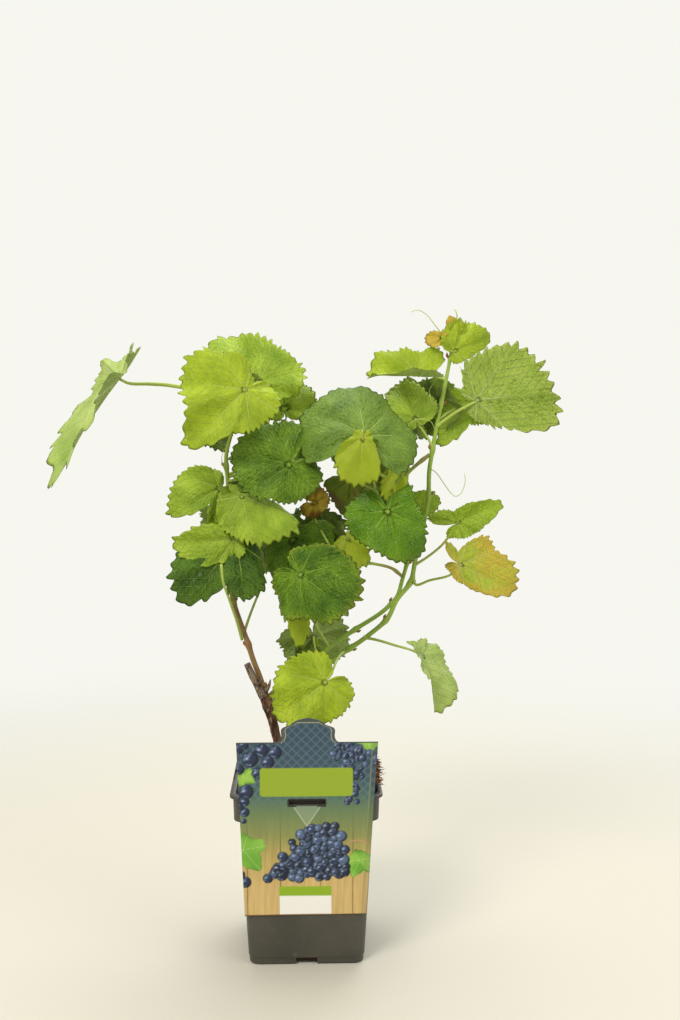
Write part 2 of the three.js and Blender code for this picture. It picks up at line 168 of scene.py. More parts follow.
def write_piece(name, part, materials, replaced=(), colours=None, smooth=True, sharp=None):
    """Writes a part in millimetres as one mesh object in metres that rides on the root body."""
    mesh = bpy.data.meshes.new(name)
    faces = part["f"]
    sizes = np.concatenate([np.full(len(f), f.shape[1]) for f in faces])
    corners = np.concatenate([f.ravel() for f in faces])
    mesh.vertices.add(len(part["v"]))
    mesh.vertices.foreach_set("co", (np.asarray(part["v"]) * MM).astype(np.float32).ravel())
    mesh.loops.add(len(corners))
    mesh.loops.foreach_set("vertex_index", corners.astype(np.int32))
    mesh.polygons.add(len(sizes))
    mesh.polygons.foreach_set("loop_start", np.concatenate([[0], np.cumsum(sizes)[:-1]]).astype(np.int32))
    marks = part.get("m", 0)
    marks = np.concatenate([np.asarray(m) for m in marks]) if isinstance(marks, list) else np.full(len(sizes),
                                                                                                   marks)
    mesh.polygons.foreach_set("material_index", marks.astype(np.int32))
    mesh.polygons.foreach_set("use_smooth", np.full(len(sizes), smooth))
    for uv_name, uvs in part.get("uv", {}).items():
        layer = mesh.uv_layers.new(name=uv_name)
        layer.data.foreach_set("uv", np.concatenate([u.reshape(-1, 2) for u in uvs]).astype(np.float32).ravel())
    if colours is not None:
        layer = mesh.color_attributes.new("print_and_slot_shade", "FLOAT_COLOR", "POINT")
        rgba = np.ones((len(colours), 4), np.float32)
        rgba[:, :3] = colours
        layer.data.foreach_set("color", rgba.ravel())
    mesh.update(calc_edges=True)
    mesh.validate()
    if sharp is not None:
        mesh.set_sharp_from_angle(angle=math.radians(sharp))
    for material in materials:
        mesh.materials.append(material)
    piece = bpy.data.objects.new(name, mesh)
    bpy.context.scene.collection.objects.link(piece)
    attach(piece, "root")
    if replaced:
        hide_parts(*replaced)
    return piece


# ---------------------------------------------------------------- materials

def linear(hex_colour):
    """sRGB hex to linear red, green, blue and alpha."""
    value = np.array([int(hex_colour[i:i + 2], 16) for i in (1, 3, 5)]) / 255
    return (*np.where(value <= 0.04045, value / 12.92, ((value + 0.055) / 1.055) ** 2.4), 1.0)


def add_node(tree, kind, fill=None, out=0, **settings):
    """Adds one node with its settings, fills its sockets with values or links, and returns one output."""
    made = tree.nodes.new(kind)
    for key, value in settings.items():
        setattr(made, key, value)
    for socket, value in (fill or {}).items():
        if isinstance(value, bpy.types.NodeSocket):
            tree.links.new(value, made.inputs[socket])
        else:
            made.inputs[socket].default_value = value
    return made.outputs[out]


def new_material(name):
    """An empty node material and its tree."""
    material = bpy.data.materials.new(name)
    material.use_nodes = True
    material.node_tree.nodes.clear()
    return material, material.node_tree


def finish_material(tree, surface):
    add_node_output = tree.nodes.new("ShaderNodeOutputMaterial")
    tree.links.new(surface, add_node_output.inputs["Surface"])


def blend_colour(tree, amount, first, second, mode="MIX"):
    return add_node(tree, "ShaderNodeMix", {0: amount, 6: first, 7: second}, out=2, data_type="RGBA",
                    blend_type=mode)


def ramp_between(tree, value, low, high, to_low=0.0, to_high=1.0, kind="SMOOTHSTEP"):
    return add_node(tree, "ShaderNodeMapRange", {0: value, 1: low, 2: high, 3: to_low, 4: to_high},
                    interpolation_type=kind)


def sum_up(tree, operation, *values):
    return add_node(tree, "ShaderNodeMath", dict(enumerate(values)), operation=operation)


def leaf_material(name, deep, light, vein, margin, glow, gloss, see_through, rugose=1.0, under=False,
                  blush=None):
    """Grape leaf, as grown: a net of veins over soft green tissue. Main veins come from the 'rib' map's
    distance, side veins from its count, and the fine net from cells 2.4 mm across and wavering rungs
    between the side veins. On top sides the net is darkened as painted shade in its sunken lines. The eye
    gets a quilted, veined blade."""
    material, tree = new_material(name)
    rib = add_node(tree, "ShaderNodeUVMap", uv_map="rib")
    span = add_node(tree, "ShaderNodeUVMap", uv_map="span")
    split_rib = tree.nodes.new("ShaderNodeSeparateXYZ")
    split_span = tree.nodes.new("ShaderNodeSeparateXYZ")
    tree.links.new(rib, split_rib.inputs[0])
    tree.links.new(span, split_span.inputs[0])
    count, off = split_rib.outputs[0], split_rib.outputs[1]
    along, out = split_span.outputs[0], split_span.outputs[1]
    place = add_node(tree, "ShaderNodeTexCoord", out=3)
    width = ramp_between(tree, along, 0.0, 1.0, 0.013, 0.003, "LINEAR")
    main = ramp_between(tree, sum_up(tree, "DIVIDE", off, width), 0.45, 1.1, 1.0, 0.0)
    beat = sum_up(tree, "PINGPONG", count, 0.5)
    side_width = ramp_between(tree, off, 0.0, 0.35, 0.085, 0.03, "LINEAR")
    side = ramp_between(tree, sum_up(tree, "DIVIDE", beat, side_width), 0.4, 1.2, 1.0, 0.0)
    cells = add_node(tree, "ShaderNodeTexVoronoi", {"Vector": place, "Scale": 1000 / 2.4},
                     feature="DISTANCE_TO_EDGE")
    net = ramp_between(tree, cells, 0.0, 0.16, 1.0, 0.0)
    wobble = add_node(tree, "ShaderNodeTexNoise", {"Vector": place, "Scale": 1000 / 6, "Detail": 1.0})
    rung_count = sum_up(tree, "ADD", sum_up(tree, "MULTIPLY", off, 17.0), sum_up(tree, "MULTIPLY", wobble, 1.6))
    rungs = ramp_between(tree, sum_up(tree, "PINGPONG", rung_count, 0.5), 0.03, 0.36, 1.0, 0.0)
    net = sum_up(tree, "MAXIMUM", sum_up(tree, "MULTIPLY", net, 0.6), rungs)
    cloud = add_node(tree, "ShaderNodeTexNoise", {"Vector": place, "Scale": 1000 / 22, "Detail": 3.0})
    grain = add_node(tree, "ShaderNodeTexNoise", {"Vector": place, "Scale": 1000 / 1.6, "Detail": 2.0})
    tissue = blend_colour(tree, ramp_between(tree, cloud, 0.18, 0.82), linear(deep), linear(light))
    if blush:
        patch = add_node(tree, "ShaderNodeTexNoise", {"Vector": place, "Scale": 1000 / 30, "Detail": 4.0})
        reach = sum_up(tree, "ADD", patch, sum_up(tree, "MULTIPLY", out, 0.30))
        tissue = blend_colour(tree, ramp_between(tree, reach, blush[1], blush[1] + 0.16), tissue,
                              linear(blush[0]))
    tissue = blend_colour(tree, sum_up(tree, "MULTIPLY", ramp_between(tree, out, 0.86, 1.0), 0.6), tissue,
                          linear(margin))
    if not under:
        # painted shade: on top sides the net of veins and rungs is darkened towards a dark copy of the deep green
        shade = sum_up(tree, "MULTIPLY", net, 0.42 * (rugose - 0.55))
        tissue = blend_colour(tree, shade, tissue, tuple(0.45 * c for c in linear(deep)[:3]) + (1.0,))
    tissue = blend_colour(tree, sum_up(tree, "MULTIPLY", side, 0.42), tissue, linear(vein))
    tissue = blend_colour(tree, sum_up(tree, "MULTIPLY", main, 0.85), tissue, linear(vein))
    lines = sum_up(tree, "ADD", sum_up(tree, "MULTIPLY", main, 0.5), sum_up(tree, "MULTIPLY", side, 0.7))
    lines = sum_up(tree, "ADD", lines, sum_up(tree, "MULTIPLY", net, 0.5 * min(1.0, rugose * rugose)))
    lines = sum_up(tree, "MULTIPLY", lines, ramp_between(tree, out, 0.03, 0.16))
    height = sum_up(tree, "ADD", sum_up(tree, "MULTIPLY", lines, 1.0 if under else -1.0),
                    sum_up(tree, "MULTIPLY", grain, 0.35))
    normal = add_node(tree, "ShaderNodeBump",
                      {"Strength": min(1.0, 0.8 * rugose), "Distance": 0.0014, "Height": height})
    rough = ramp_between(tree, grain, 0.3, 0.7, gloss - 0.06, gloss + 0.08, "LINEAR")
    blade = add_node(tree, "ShaderNodeBsdfPrincipled",
                     {"Base Color": tissue, "Roughness": rough, "Specular IOR Level": 0.25 if under else 0.4,
                      "IOR": 1.45, "Normal": normal})
    through = add_node(tree, "ShaderNodeBsdfTranslucent",
                       {"Color": blend_colour(tree, 0.55, tissue, linear(glow)), "Normal": normal})
    finish_material(tree, add_node(tree, "ShaderNodeMixShader", {0: see_through, 1: blade, 2: through}))
    return material


# name: deep green, light green, vein, margin, colour with light behind, roughness, light let through, quilting
TINTS = {
    "spring": ("#95af1b", "#cbde38", "#c3d160", "#b4ca31", "#d6ea46", 0.44, 0.34, 0.8),
    "fresh": ("#81a21d", "#bdd844", "#b4ca5e", "#b4c93b", "#c7e546", 0.44, 0.30, 0.9),
    "mid": ("#437506", "#7aa61c", "#a3c046", "#7d9d2b", "#91c31e", 0.24, 0.20, 1.0),
    "deep": ("#406608", "#8bb129", "#86a634", "#82a62b", "#90c21b", 0.42, 0.14, 1.25),
    # painted shade: the shade tint is a darker copy of deep, for the shaded inside of a folded leaf
    "shade": ("#2e5006", "#658b1e", "#86a634", "#5e8220", "#699814", 0.42, 0.14, 1.25),
    "rugose": ("#396203", "#82a91e", "#8fae38", "#a1ac2b", "#7fb217", 0.42, 0.14, 1.4),
    "blue": ("#4f7014", "#86a53c", "#a3bd64", "#759232", "#80af34", 0.44, 0.16, 1.0),
    "blush": ("#d9b840", "#f0d956", "#c9b05c", "#d8a440", "#e6c046", 0.46, 0.3, 0.8),
    # painted light: the lit and glowing tints are paler, brighter greens that paint light shining through leaves
    # lit from behind
    "lit": ("#aec028", "#c2d038", "#d4dc6a", "#bccb38", "#dcec3c", 0.46, 0.5, 0.6),
    "glowing": ("#dcec3c", "#eef85a", "#f0f49a", "#e0ee50", "#f8ff60", 0.5, 0.6, 0.5),
    "olive": ("#51690b", "#819317", "#7d7c28", "#727910", "#979a1d", 0.46, 0.14, 0.8),
    "yellow": ("#adc43c", "#ced44e", "#ccd07c", "#deb84e", "#e7ee4e", 0.46, 0.34, 0.9),
    "autumn": ("#e4bc3c", "#fcf060", "#c8a848", "#a8701e", "#fff060", 0.55, 0.5, 1.0),
    "turned": ("#87aa2a", "#b1cd4c", "#b4cf66", "#9bb93c", "#a4cc3a", 0.45, 0.30, 0.9),
    "dry": ("#5b4026", "#7a5a34", "#8a7040", "#4a3018", "#8a5a20", 0.7, 0.08, 1.2),
    "pale": ("#9dbb56", "#d1e186", "#c3d390", "#b4cb58", "#c6da70", 0.45, 0.30, 0.8),
}
BLUSH = {"yellow": ("#d9bf48", 0.62), "autumn": ("#7a4a1c", 0.70), "olive": ("#5d4a22", 0.70),
         "rugose": ("#b2b02c", 0.80)}
UNDERSIDE = {
    "pale_under": ("#9fb365", "#b3c47c", "#d3dba4", "#a9bd6c", "#c9db5a", 0.62, 0.34, 1.0),
    "green_under": ("#88a04c", "#a3b562", "#b0c488", "#a1b757", "#b6c942", 0.62, 0.28, 1.0),
    "bright_under": ("#a0ba48", "#bbce64", "#c6d88c", "#c4d069", "#d8e352", 0.55, 0.34, 1.3),
    "brown_under": ("#a58a48", "#b89c58", "#8f7a44", "#8a6a34", "#c09a40", 0.70, 0.26, 1.0),
}
GREEN_BELOW = ("deep", "shade", "rugose", "blue", "mid", "olive")
UNDER_OF = {"turned": "bright_under", "autumn": "brown_under", "dry": "brown_under",
            **{tint: "green_under" for tint in GREEN_BELOW}}
LEAF_TOPS = {n: leaf_material(f"grape_leaf_{n}", *v, blush=BLUSH.get(n)) for n, v in TINTS.items()}
LEAF_UNDERS = {n: leaf_material(f"leaf_{n}side", *v, under=True) for n, v in UNDERSIDE.items()}


def stem_material(name, low, high, stripe, split, gloss=0.45):
    """Green cane, as grown: soft ridges along it, dull red-brown where it is older, green above."""
    material, tree = new_material(name)
    place = tree.nodes.new("ShaderNodeTexCoord")
    map_along = add_node(tree, "ShaderNodeUVMap", uv_map="along")
    parts = tree.nodes.new("ShaderNodeSeparateXYZ")
    tree.links.new(map_along, parts.inputs[0])
    blotch = add_node(tree, "ShaderNodeTexNoise", {"Vector": place.outputs[3], "Scale": 1000 / 9, "Detail": 4.0})
    old = sum_up(tree, "ADD", parts.outputs[1], sum_up(tree, "MULTIPLY", blotch, 0.9))
    ground = blend_colour(tree, ramp_between(tree, old, split + 0.35, split + 0.85), linear(low), linear(high))
    streaks = add_node(tree, "ShaderNodeCombineXYZ", {0: sum_up(tree, "MULTIPLY", parts.outputs[0], 9.0),
                                                     1: sum_up(tree, "MULTIPLY", parts.outputs[1], 3.0)})
    ridges = add_node(tree, "ShaderNodeTexNoise", {"Vector": streaks, "Scale": 2.2, "Detail": 4.0})
    skin = blend_colour(tree, ramp_between(tree, ridges, 0.42, 0.62), ground, linear(stripe))
    skin = blend_colour(tree, 0.6, skin, ground)
    normal = add_node(tree, "ShaderNodeBump", {"Strength": 0.5, "Distance": 0.0004, "Height": ridges})
    shader = add_node(tree, "ShaderNodeBsdfPrincipled",
                      {"Base Color": skin, "Roughness": gloss, "Specular IOR Level": 0.4, "Normal": normal})
    finish_material(tree, shader)
    return material


def rough_material(name, dark, light, fleck, size, relief, roughness=0.9, squash=(1.0, 1.0, 1.0)):
    """A dull natural stuff such as bark or peat: three colours clouded by noise of one real size, with a
    bump."""
    material, tree = new_material(name)
    place = add_node(tree, "ShaderNodeTexCoord", out=3)
    place = add_node(tree, "ShaderNodeMapping", {"Vector": place, "Scale": squash})
    cloud = add_node(tree, "ShaderNodeTexNoise", {"Vector": place, "Scale": 1000 / size, "Detail": 6.0,
                                                  "Roughness": 0.62})
    fine = add_node(tree, "ShaderNodeTexNoise", {"Vector": place, "Scale": 4000 / size, "Detail": 4.0})
    ground = blend_colour(tree, ramp_between(tree, cloud, 0.36, 0.64), linear(dark), linear(light))
    ground = blend_colour(tree, ramp_between(tree, fine, 0.56, 0.70), ground, linear(fleck))
    height = sum_up(tree, "ADD", cloud, sum_up(tree, "MULTIPLY", fine, 0.5))
    normal = add_node(tree, "ShaderNodeBump", {"Strength": 0.9, "Distance": relief * MM, "Height": height})
    shader = add_node(tree, "ShaderNodeBsdfPrincipled",
                      {"Base Color": ground, "Roughness": roughness, "Specular IOR Level": 0.25,
                       "Normal": normal})
    finish_material(tree, shader)
    return material


def pot_material():
    """Recycled polypropylene, moulded: dark grey-brown, faint flow marks and rubbed, dusty patches, satin."""
    material, tree = new_material("moulded_recycled_polypropylene")
    place = add_node(tree, "ShaderNodeTexCoord", out=3)
    flow = add_node(tree, "ShaderNodeTexNoise", {"Vector": place, "Scale": 1000 / 60, "Detail": 5.0})
    grit = add_node(tree, "ShaderNodeTexNoise", {"Vector": place, "Scale": 1000 / 0.9, "Detail": 2.0})
    dust = add_node(tree, "ShaderNodeTexNoise",
                    {"Vector": place, "Scale": 1000 / 7, "Detail": 6.0, "Roughness": 0.7})
    ground = blend_colour(tree, ramp_between(tree, flow, 0.35, 0.65), linear("#3b3932"), linear("#47443a"))
    ground = blend_colour(tree, sum_up(tree, "MULTIPLY", ramp_between(tree, dust, 0.56, 0.76), 0.35), ground,
                          linear("#6e6858"))
    rough = ramp_between(tree, dust, 0.3, 0.75, 0.36, 0.56, "LINEAR")
    height = sum_up(tree, "ADD", sum_up(tree, "MULTIPLY", grit, 0.5), flow)
    normal = add_node(tree, "ShaderNodeBump", {"Strength": 0.25, "Distance": 0.0003, "Height": height})
    shader = add_node(tree, "ShaderNodeBsdfPrincipled",
                      {"Base Color": ground, "Roughness": rough, "Specular IOR Level": 0.5, "IOR": 1.49,
                       "Normal": normal})
    finish_material(tree, shader)
    return material


def card_material():
    """Coated card, offset printed: its printed colours and a painted shade round the slot come from the mesh's
    colours, under a thin satin varnish.
    """
    material, tree = new_material("varnished_printed_card")
    ink_and_shade = add_node(tree, "ShaderNodeAttribute", attribute_name="print_and_slot_shade", attribute_type="GEOMETRY")
    place = add_node(tree, "ShaderNodeTexCoord", out=3)
    fibre = add_node(tree, "ShaderNodeTexNoise", {"Vector": place, "Scale": 1000 / 1.2, "Detail": 3.0})
    rough = ramp_between(tree, fibre, 0.3, 0.7, 0.28, 0.38, "LINEAR")
    normal = add_node(tree, "ShaderNodeBump", {"Strength": 0.08, "Distance": 0.0002, "Height": fibre})
    shader = add_node(tree, "ShaderNodeBsdfPrincipled",
                      {"Base Color": ink_and_shade, "Roughness": rough, "Specular IOR Level": 0.4, "Normal": normal})
    finish_material(tree, shader)
    return material


# ---------------------------------------------------------------- leaves

LOBES = np.radians([-180, -150, -100, -50, 0, 50, 100, 150, 180])
TEETH_AT = np.array([0, 3, 9, 16, 23, 30, 37, 43, 46]) / 46
PER_TOOTH = 5
VEIN_LEAN = math.radians(48)
SIDE_VEIN_GAP = 0.125         # between side veins along a main vein, as a share of the length
LOBE_STEPS = np.arange(len(LOBES))
LONG_LEAF, MANY_TEETH, FEW_TEETH = 40, 38, 26
STALK_SINK = 1.3              # how far behind the blade a stalk ends
REAR = ((6, 8, 9, 10, 9, 8, 6), (.1, 20, 14, .05))      # reach and bends that the rear leaves share

# Leaf: name, mass, junction with its stalk, (heading, nod, turn), length, reach of seven lobes or of
# thirteen even directions in tenths of the length, (fold, droop, side droop, wave), quilting in mm, tint.
# Heading turns the tip in the XZ plane (0 down, 90 towards +X), nod lifts it towards -Y, turn rolls the
# blade about its midrib.
# Most of the thirteen-direction reaches and many junctions were not designed here: a separate measuring
# program made them, and some were then changed. So were many points of SHOOTS, CROSS_SHOOTS and
# STALK_PATHS. This breaks the rule that a script holds no table made by another program.
LEAVES = [
    ("far_left", "far_left", (-181, -40, 581), (-38, 15, -77), 132,
     (3.5, 3.5, 5, 10, 4.2, 3, 2.8), (.22, 22, 0, .04), .6, "pale"),
    ("left_front", "upper_left", (-58, -55, 570), (-43, 25, 5), 83,
     (3, 4, 5.5, 7.5, 7.5, 7.5, 10, 5.5, 5, 4.5, 4.5, 4, 3.5), (.05, 14, 16, .03), .8, "spring"),
    ("left_back", "upper_left", (-48, 0, 579), (-155, -22, 0), 65,
     (4.5, 7, 7.5, 6.5, 6.5, 8, 10, 11.5, 8, 5, 4, 3.5, 3), (.05, 10, 10, .05), .7, "fresh"),
    ("left_rear", "back_upper_left", (-72, 38, 572), (-25, -30, 180), 58, *REAR, .7, "fresh"),
    ("mid_small", "upper_left", (-22, 12, 552), (-172, -15, 0), 27,
     (5, 8, 10, 13, 14, 12, 10, 10, 11, 11, 9, 6, 5), (.1, 10, 10, .05), .5, "fresh"),
    ("dark_left", "dark_left", (-16, -40, 497), (-55, 18, 0), 52,
     (7.5, 8.5, 9, 10, 11.5, 10.5, 10, 7.5, 7.5, 7, 7, 7, 5.5), (.03, 18, 12, .05), 1.3, "deep"),
    ("dark_rear", "back_dark_left", (-36, 46, 505), (12, -35, 180), 56, *REAR, .8, "mid"),
    ("big_centre", "centre", (58, -50, 526), (-170, -26, 0), 66,
     (8, 8.2, 7.6, 6, 6, 7.5, 10, 10.5, 12, 10.5, 10, 3.5, 3), (0, 12, 12, .05), 1.1, "blue"),
    ("lit_behind", "centre", (55, -64, 524), (-5, 12, 0), 48,
     (2, 2, 2, 3, 7, 9.5, 10, 9, 4, 2, 2, 2, 2), (.05, 15, 10, .04), .5, "lit"),
    ("centre_rear", "back_upper_centre", (52, 42, 532), (-12, -35, 180), 56, *REAR, .8, "mid"),
    ("olive", "olive", (45, 6, 480), (-8, 15, 0), 39,
     (2, 2.5, 3.5, 7, 6.5, 7.5, 10, 5, 4, 4, 3, 2.5, 2), (.1, 20, 10, .04), .6, "olive"),
    ("left_light", "left", (-86, -20, 473), (-60, 20, 0), 59,
     (1.7, 2.8, 3.8, 5.2, 7.2, 8.5, 10, 3.2, 8, 6, 3.5, 2.5, 2), (0, 22, 18, .05), .6, "fresh"),
    ("curled", "left", (-64, -34, 466), (72, 10, 42), 68,
     (3.5, 4.5, 5.2, 5.6, 6.5, 8.5, 10, 6, 4.5, 4, 3.5, 3, 3), (-.6, 24, 10, .06), .7, "fresh"),
    ("low_left", "low_left", (-69, -30, 420), (-41, 27, 0), 85,
     (2, 2, 2.5, 3.2, 6, 8.5, 10, 5.5, 7, 6.5, 3.5, 2.5, 2), (-.15, 25, 10, .05), 1.0, "shade"),
    ("low_left_wing", "low_left", (-71, -36, 424), (-84, 24, 10), 63,
     (3, 3, 2.5, 2.5, 3, 6.5, 10, 8, 4.5, 3.5, 3, 2.5, 2), (.1, 22, 10, .05), .6, "fresh"),
    ("low_left_rear", "back_low_left", (-72, 44, 432), (-15, -35, 180), 54, *REAR, .8, "mid"),
    ("dark_mid", "dark_middle", (-14, 5, 419), (40, 15, 0), 40,
     (3, 5.5, 9, 10, 11.5, 10, 10, 11, 11.5, 11, 5, 3, 2.5), (.1, 15, 10, .05), .8, "deep"),
    ("centre_low", "low_centre", (-6, -50, 390), (55, 22, 0), 62,
     (4.5, 5, 5.5, 7.5, 7, 9, 10, 10.5, 9, 7, 5.5, 4.5, 4), (0, 20, 15, .06), 1.3, "rugose"),
    ("centre_hang", "low_centre", (-6, -22, 362), (0, 15, 0), 51,
     (2, 2, 2, 2.2, 2.8, 5.5, 10, 4.5, 2.8, 2.2, 2, 2, 2), (.2, 10, 10, .05), .4, "lit"),
    ("centre_back", "back_centre", (2, 52, 425), (8, -32, 180), 56, *REAR, .8, "mid"),
    ("glossy_right", "right_centre", (80, -50, 452), (14, 22, 0), 45,
     (7.5, 8, 9.5, 9.5, 9, 9.5, 12, 12.5, 9.5, 7, 6.5, 7.5, 4), (.05, 18, 15, .05), .9, "mid"),
    ("yellow_behind", "yellow_behind", (43, 0, 421), (40, 10, 0), 36,
     (2, 3, 5, 6, 7, 9, 10, 6, 4, 3, 2.5, 2, 2), (.05, 15, 10, .05), .4, "lit"),
    ("behind_right", "behind_right", (112, 30, 453), (100, 0, 0), 31,
     (2, 3, 4, 5, 6.5, 8, 10, 8, 5.5, 4, 3, 2, 2), (.1, 10, 5, .05), .5, "fresh"),
    ("thin_light", "right_centre", (98, 14, 494), (-12, 10, 0), 42,
     (1.5, 1.5, 2, 3, 5, 8.5, 10, 5, 3, 2.5, 2, 1.5, 1.5), (.3, 10, 5, .04), .4, "glowing"),
    ("right_rear", "back_right", (70, 56, 478), (16, -35, 180), 54, *REAR, .8, "fresh"),
    ("bow", "bow_right", (154, -10, 437), (115, 25, 0), 52,
     (4, 3, 3, 3.2, 4, 5.5, 10, 6, 3.5, 2.5, 3, 4.5, 6), (.3, 20, 10, .06), .6, "fresh"),
    ("yellow", "yellow_right", (156, -15, 395), (62, 12, 0), 64,
     (2.5, 2, 2, 2.5, 3.2, 5.5, 10, 9, 6, 6.2, 3.5, 2, 4.5), (.05, 12, 10, .04), .6, "yellow"),
    ("right_hang", "right_hang", (119, -10, 302), (26, 15, 60), 63,
     (3.5, 3, 3, 3.5, 4, 6, 10, 9, 6.5, 4.5, 4, 3.5, 3), (.2, 15, 0, .04), .5, "pale"),
    ("low_front", "low_front", (19, -55, 284), (-55, 18, 0), 62,
     (3, 4.5, 5.5, 6.5, 8, 8.5, 10, 8, 7, 6, 5.5, 5, 4), (0, 18, 10, .05), .8, "spring"),
    ("low_rear", "back_low", (8, 44, 312), (12, -30, 180), 50, *REAR, .7, "fresh"),
    ("top_left", "top_left", (113, -10, 586), (-92, 0, -57), 51,
     (6, 5.8, 4, 4.2, 6, 8.5, 10, 8.5, 6, 5, 4.5, 5.5, 5.5), (.9, 10, 0, .03), .5, "spring"),
    ("top_right", "top_right", (151, -5, 610), (112, -20, 0), 50,
     (2.5, 2.5, 2.5, 2.5, 3, 4.5, 10, 8, 6.2, 5.8, 5, 4, 2.5), (.2, 10, 5, .04), .5, "spring"),
    ("young", "top_right", (138, -8, 624), (-95, 0, 0), 18,
     (3, 3, 3, 3, 4, 7, 10, 10, 8, 5, 4, 3, 3), (.2, 10, 5, .04), .3, "blush"),
    ("apex_left", "top_right", (149, -3, 637), (-155, 0, 20), 11, (5, 6, 7, 10, 7, 6, 5), (.5, 10, 5, .04), .2,
     "blush"),
    ("apex_right", "top_right", (151, -5, 633), (150, 10, -20), 13, (5, 6, 7, 10, 7, 6, 5), (.5, 10, 5, .04), .2,
     "spring"),
    ("right_under", "far_right", (173, -5, 561), (97, 12, 180), 80,
     (2, 2.5, 5, 6.2, 8.4, 9, 10, 10.5, 5, 3.2, 2.5, 2, 2), (.1, 12, 5, .04), .7, "turned"),
    ("right_behind", "right_behind", (173, 14, 560), (-38, 8, 0), 60,
     (2, 2.5, 3, 4.5, 5, 6.5, 10, 4, 4, 4.5, 4.5, 2.5, 2), (.1, 12, 5, .05), .6, "fresh"),
    ("top_rear", "back_top", (122, 38, 566), (4, -30, 180), 50, *REAR, .7, "spring"),
    ("mid_right", "mid_right", (112, 0, 541), (-155, -18, 0), 46,
     (2, 2.5, 4.5, 6, 6.5, 8.5, 10, 9, 7.5, 4.5, 3.5, 2.5, 2), (.15, 10, 5, .05), .6, "fresh"),
    ("autumn", "autumn", (9, -16, 458), (80, 5, 0), 18,
     (10, 10, 9.5, 8, 7, 7, 8, 9, 9, 9.5, 9.5, 9, 9), (.1, 10, 10, .08), .5, "autumn"),
    ("dry", "low_left", (-49, -2, 430), (60, 10, 0), 26, (3, 3, 4, 10, 5, 3, 2), (.2, 20, 10, .1), .4, "dry"),
]

# Shapes apart from the usual one: drop beside a lobe's tip, pleats between main veins, curl of the margin, teeth.
SHAPES = {
    "far_left": (0.12, 0.08, 0.05, 0.07),
    "big_centre": (0.1, 0.07, 0.16, 0.035),
    "right_under": (0.1, 0.05, 0.08, 0.075),
    "curled": (0.1, 0.05, 0.10, 0.06),
    "autumn": (0.1, 0.25, 0.35, 0.09),
    "dry": (0.1, 0.3, 0.5, 0.05),
}


def blade_axes(angles):
    """Directions of a blade: towards its tip, towards its right side, and out of its upper face."""
    heading, nod, turn = np.radians(angles)
    tip = np.array([math.sin(heading), 0, -math.cos(heading)])
    face = np.array([0, -1.0, 0])
    side = np.cross(face, tip)
    t = tip * math.cos(nod) + face * math.sin(nod)
    n = face * math.cos(nod) - tip * math.sin(nod)
    return t, side * math.cos(turn) - n * math.sin(turn), n * math.cos(turn) + side * math.sin(turn)


def bend(x, w, length, degrees):
    """Rolls a blade over a cylinder: x becomes arc length on a circle that the whole length turns by degrees."""
    if abs(degrees) < 0.1:
        return x, w
    radius = length / math.radians(degrees)
    return (radius + w) * np.sin(x / radius), (radius + w) * np.cos(x / radius) - radius


def rib_map(angle, r, length, sector):
    """Count of side veins and distance from the nearest main vein, for points given by angle and radius. Side
    veins leave a main vein at VEIN_LEAN; the two halves of a sector between main veins share their count."""
    nearest = np.where(sector % 2 == 0, (sector // 2), (sector // 2 + 1))
    vein = LOBES[np.clip(nearest, 1, 7)]
    a = r * np.cos(angle - vein)
    b = r * np.abs(np.sin(angle - vein))
    count = (a - b / math.tan(VEIN_LEAN)) / (SIDE_VEIN_GAP * length) + 0.5 * ((sector // 2) % 2) + 40
    return count, b / length, np.clip(a / length, 0, 1)


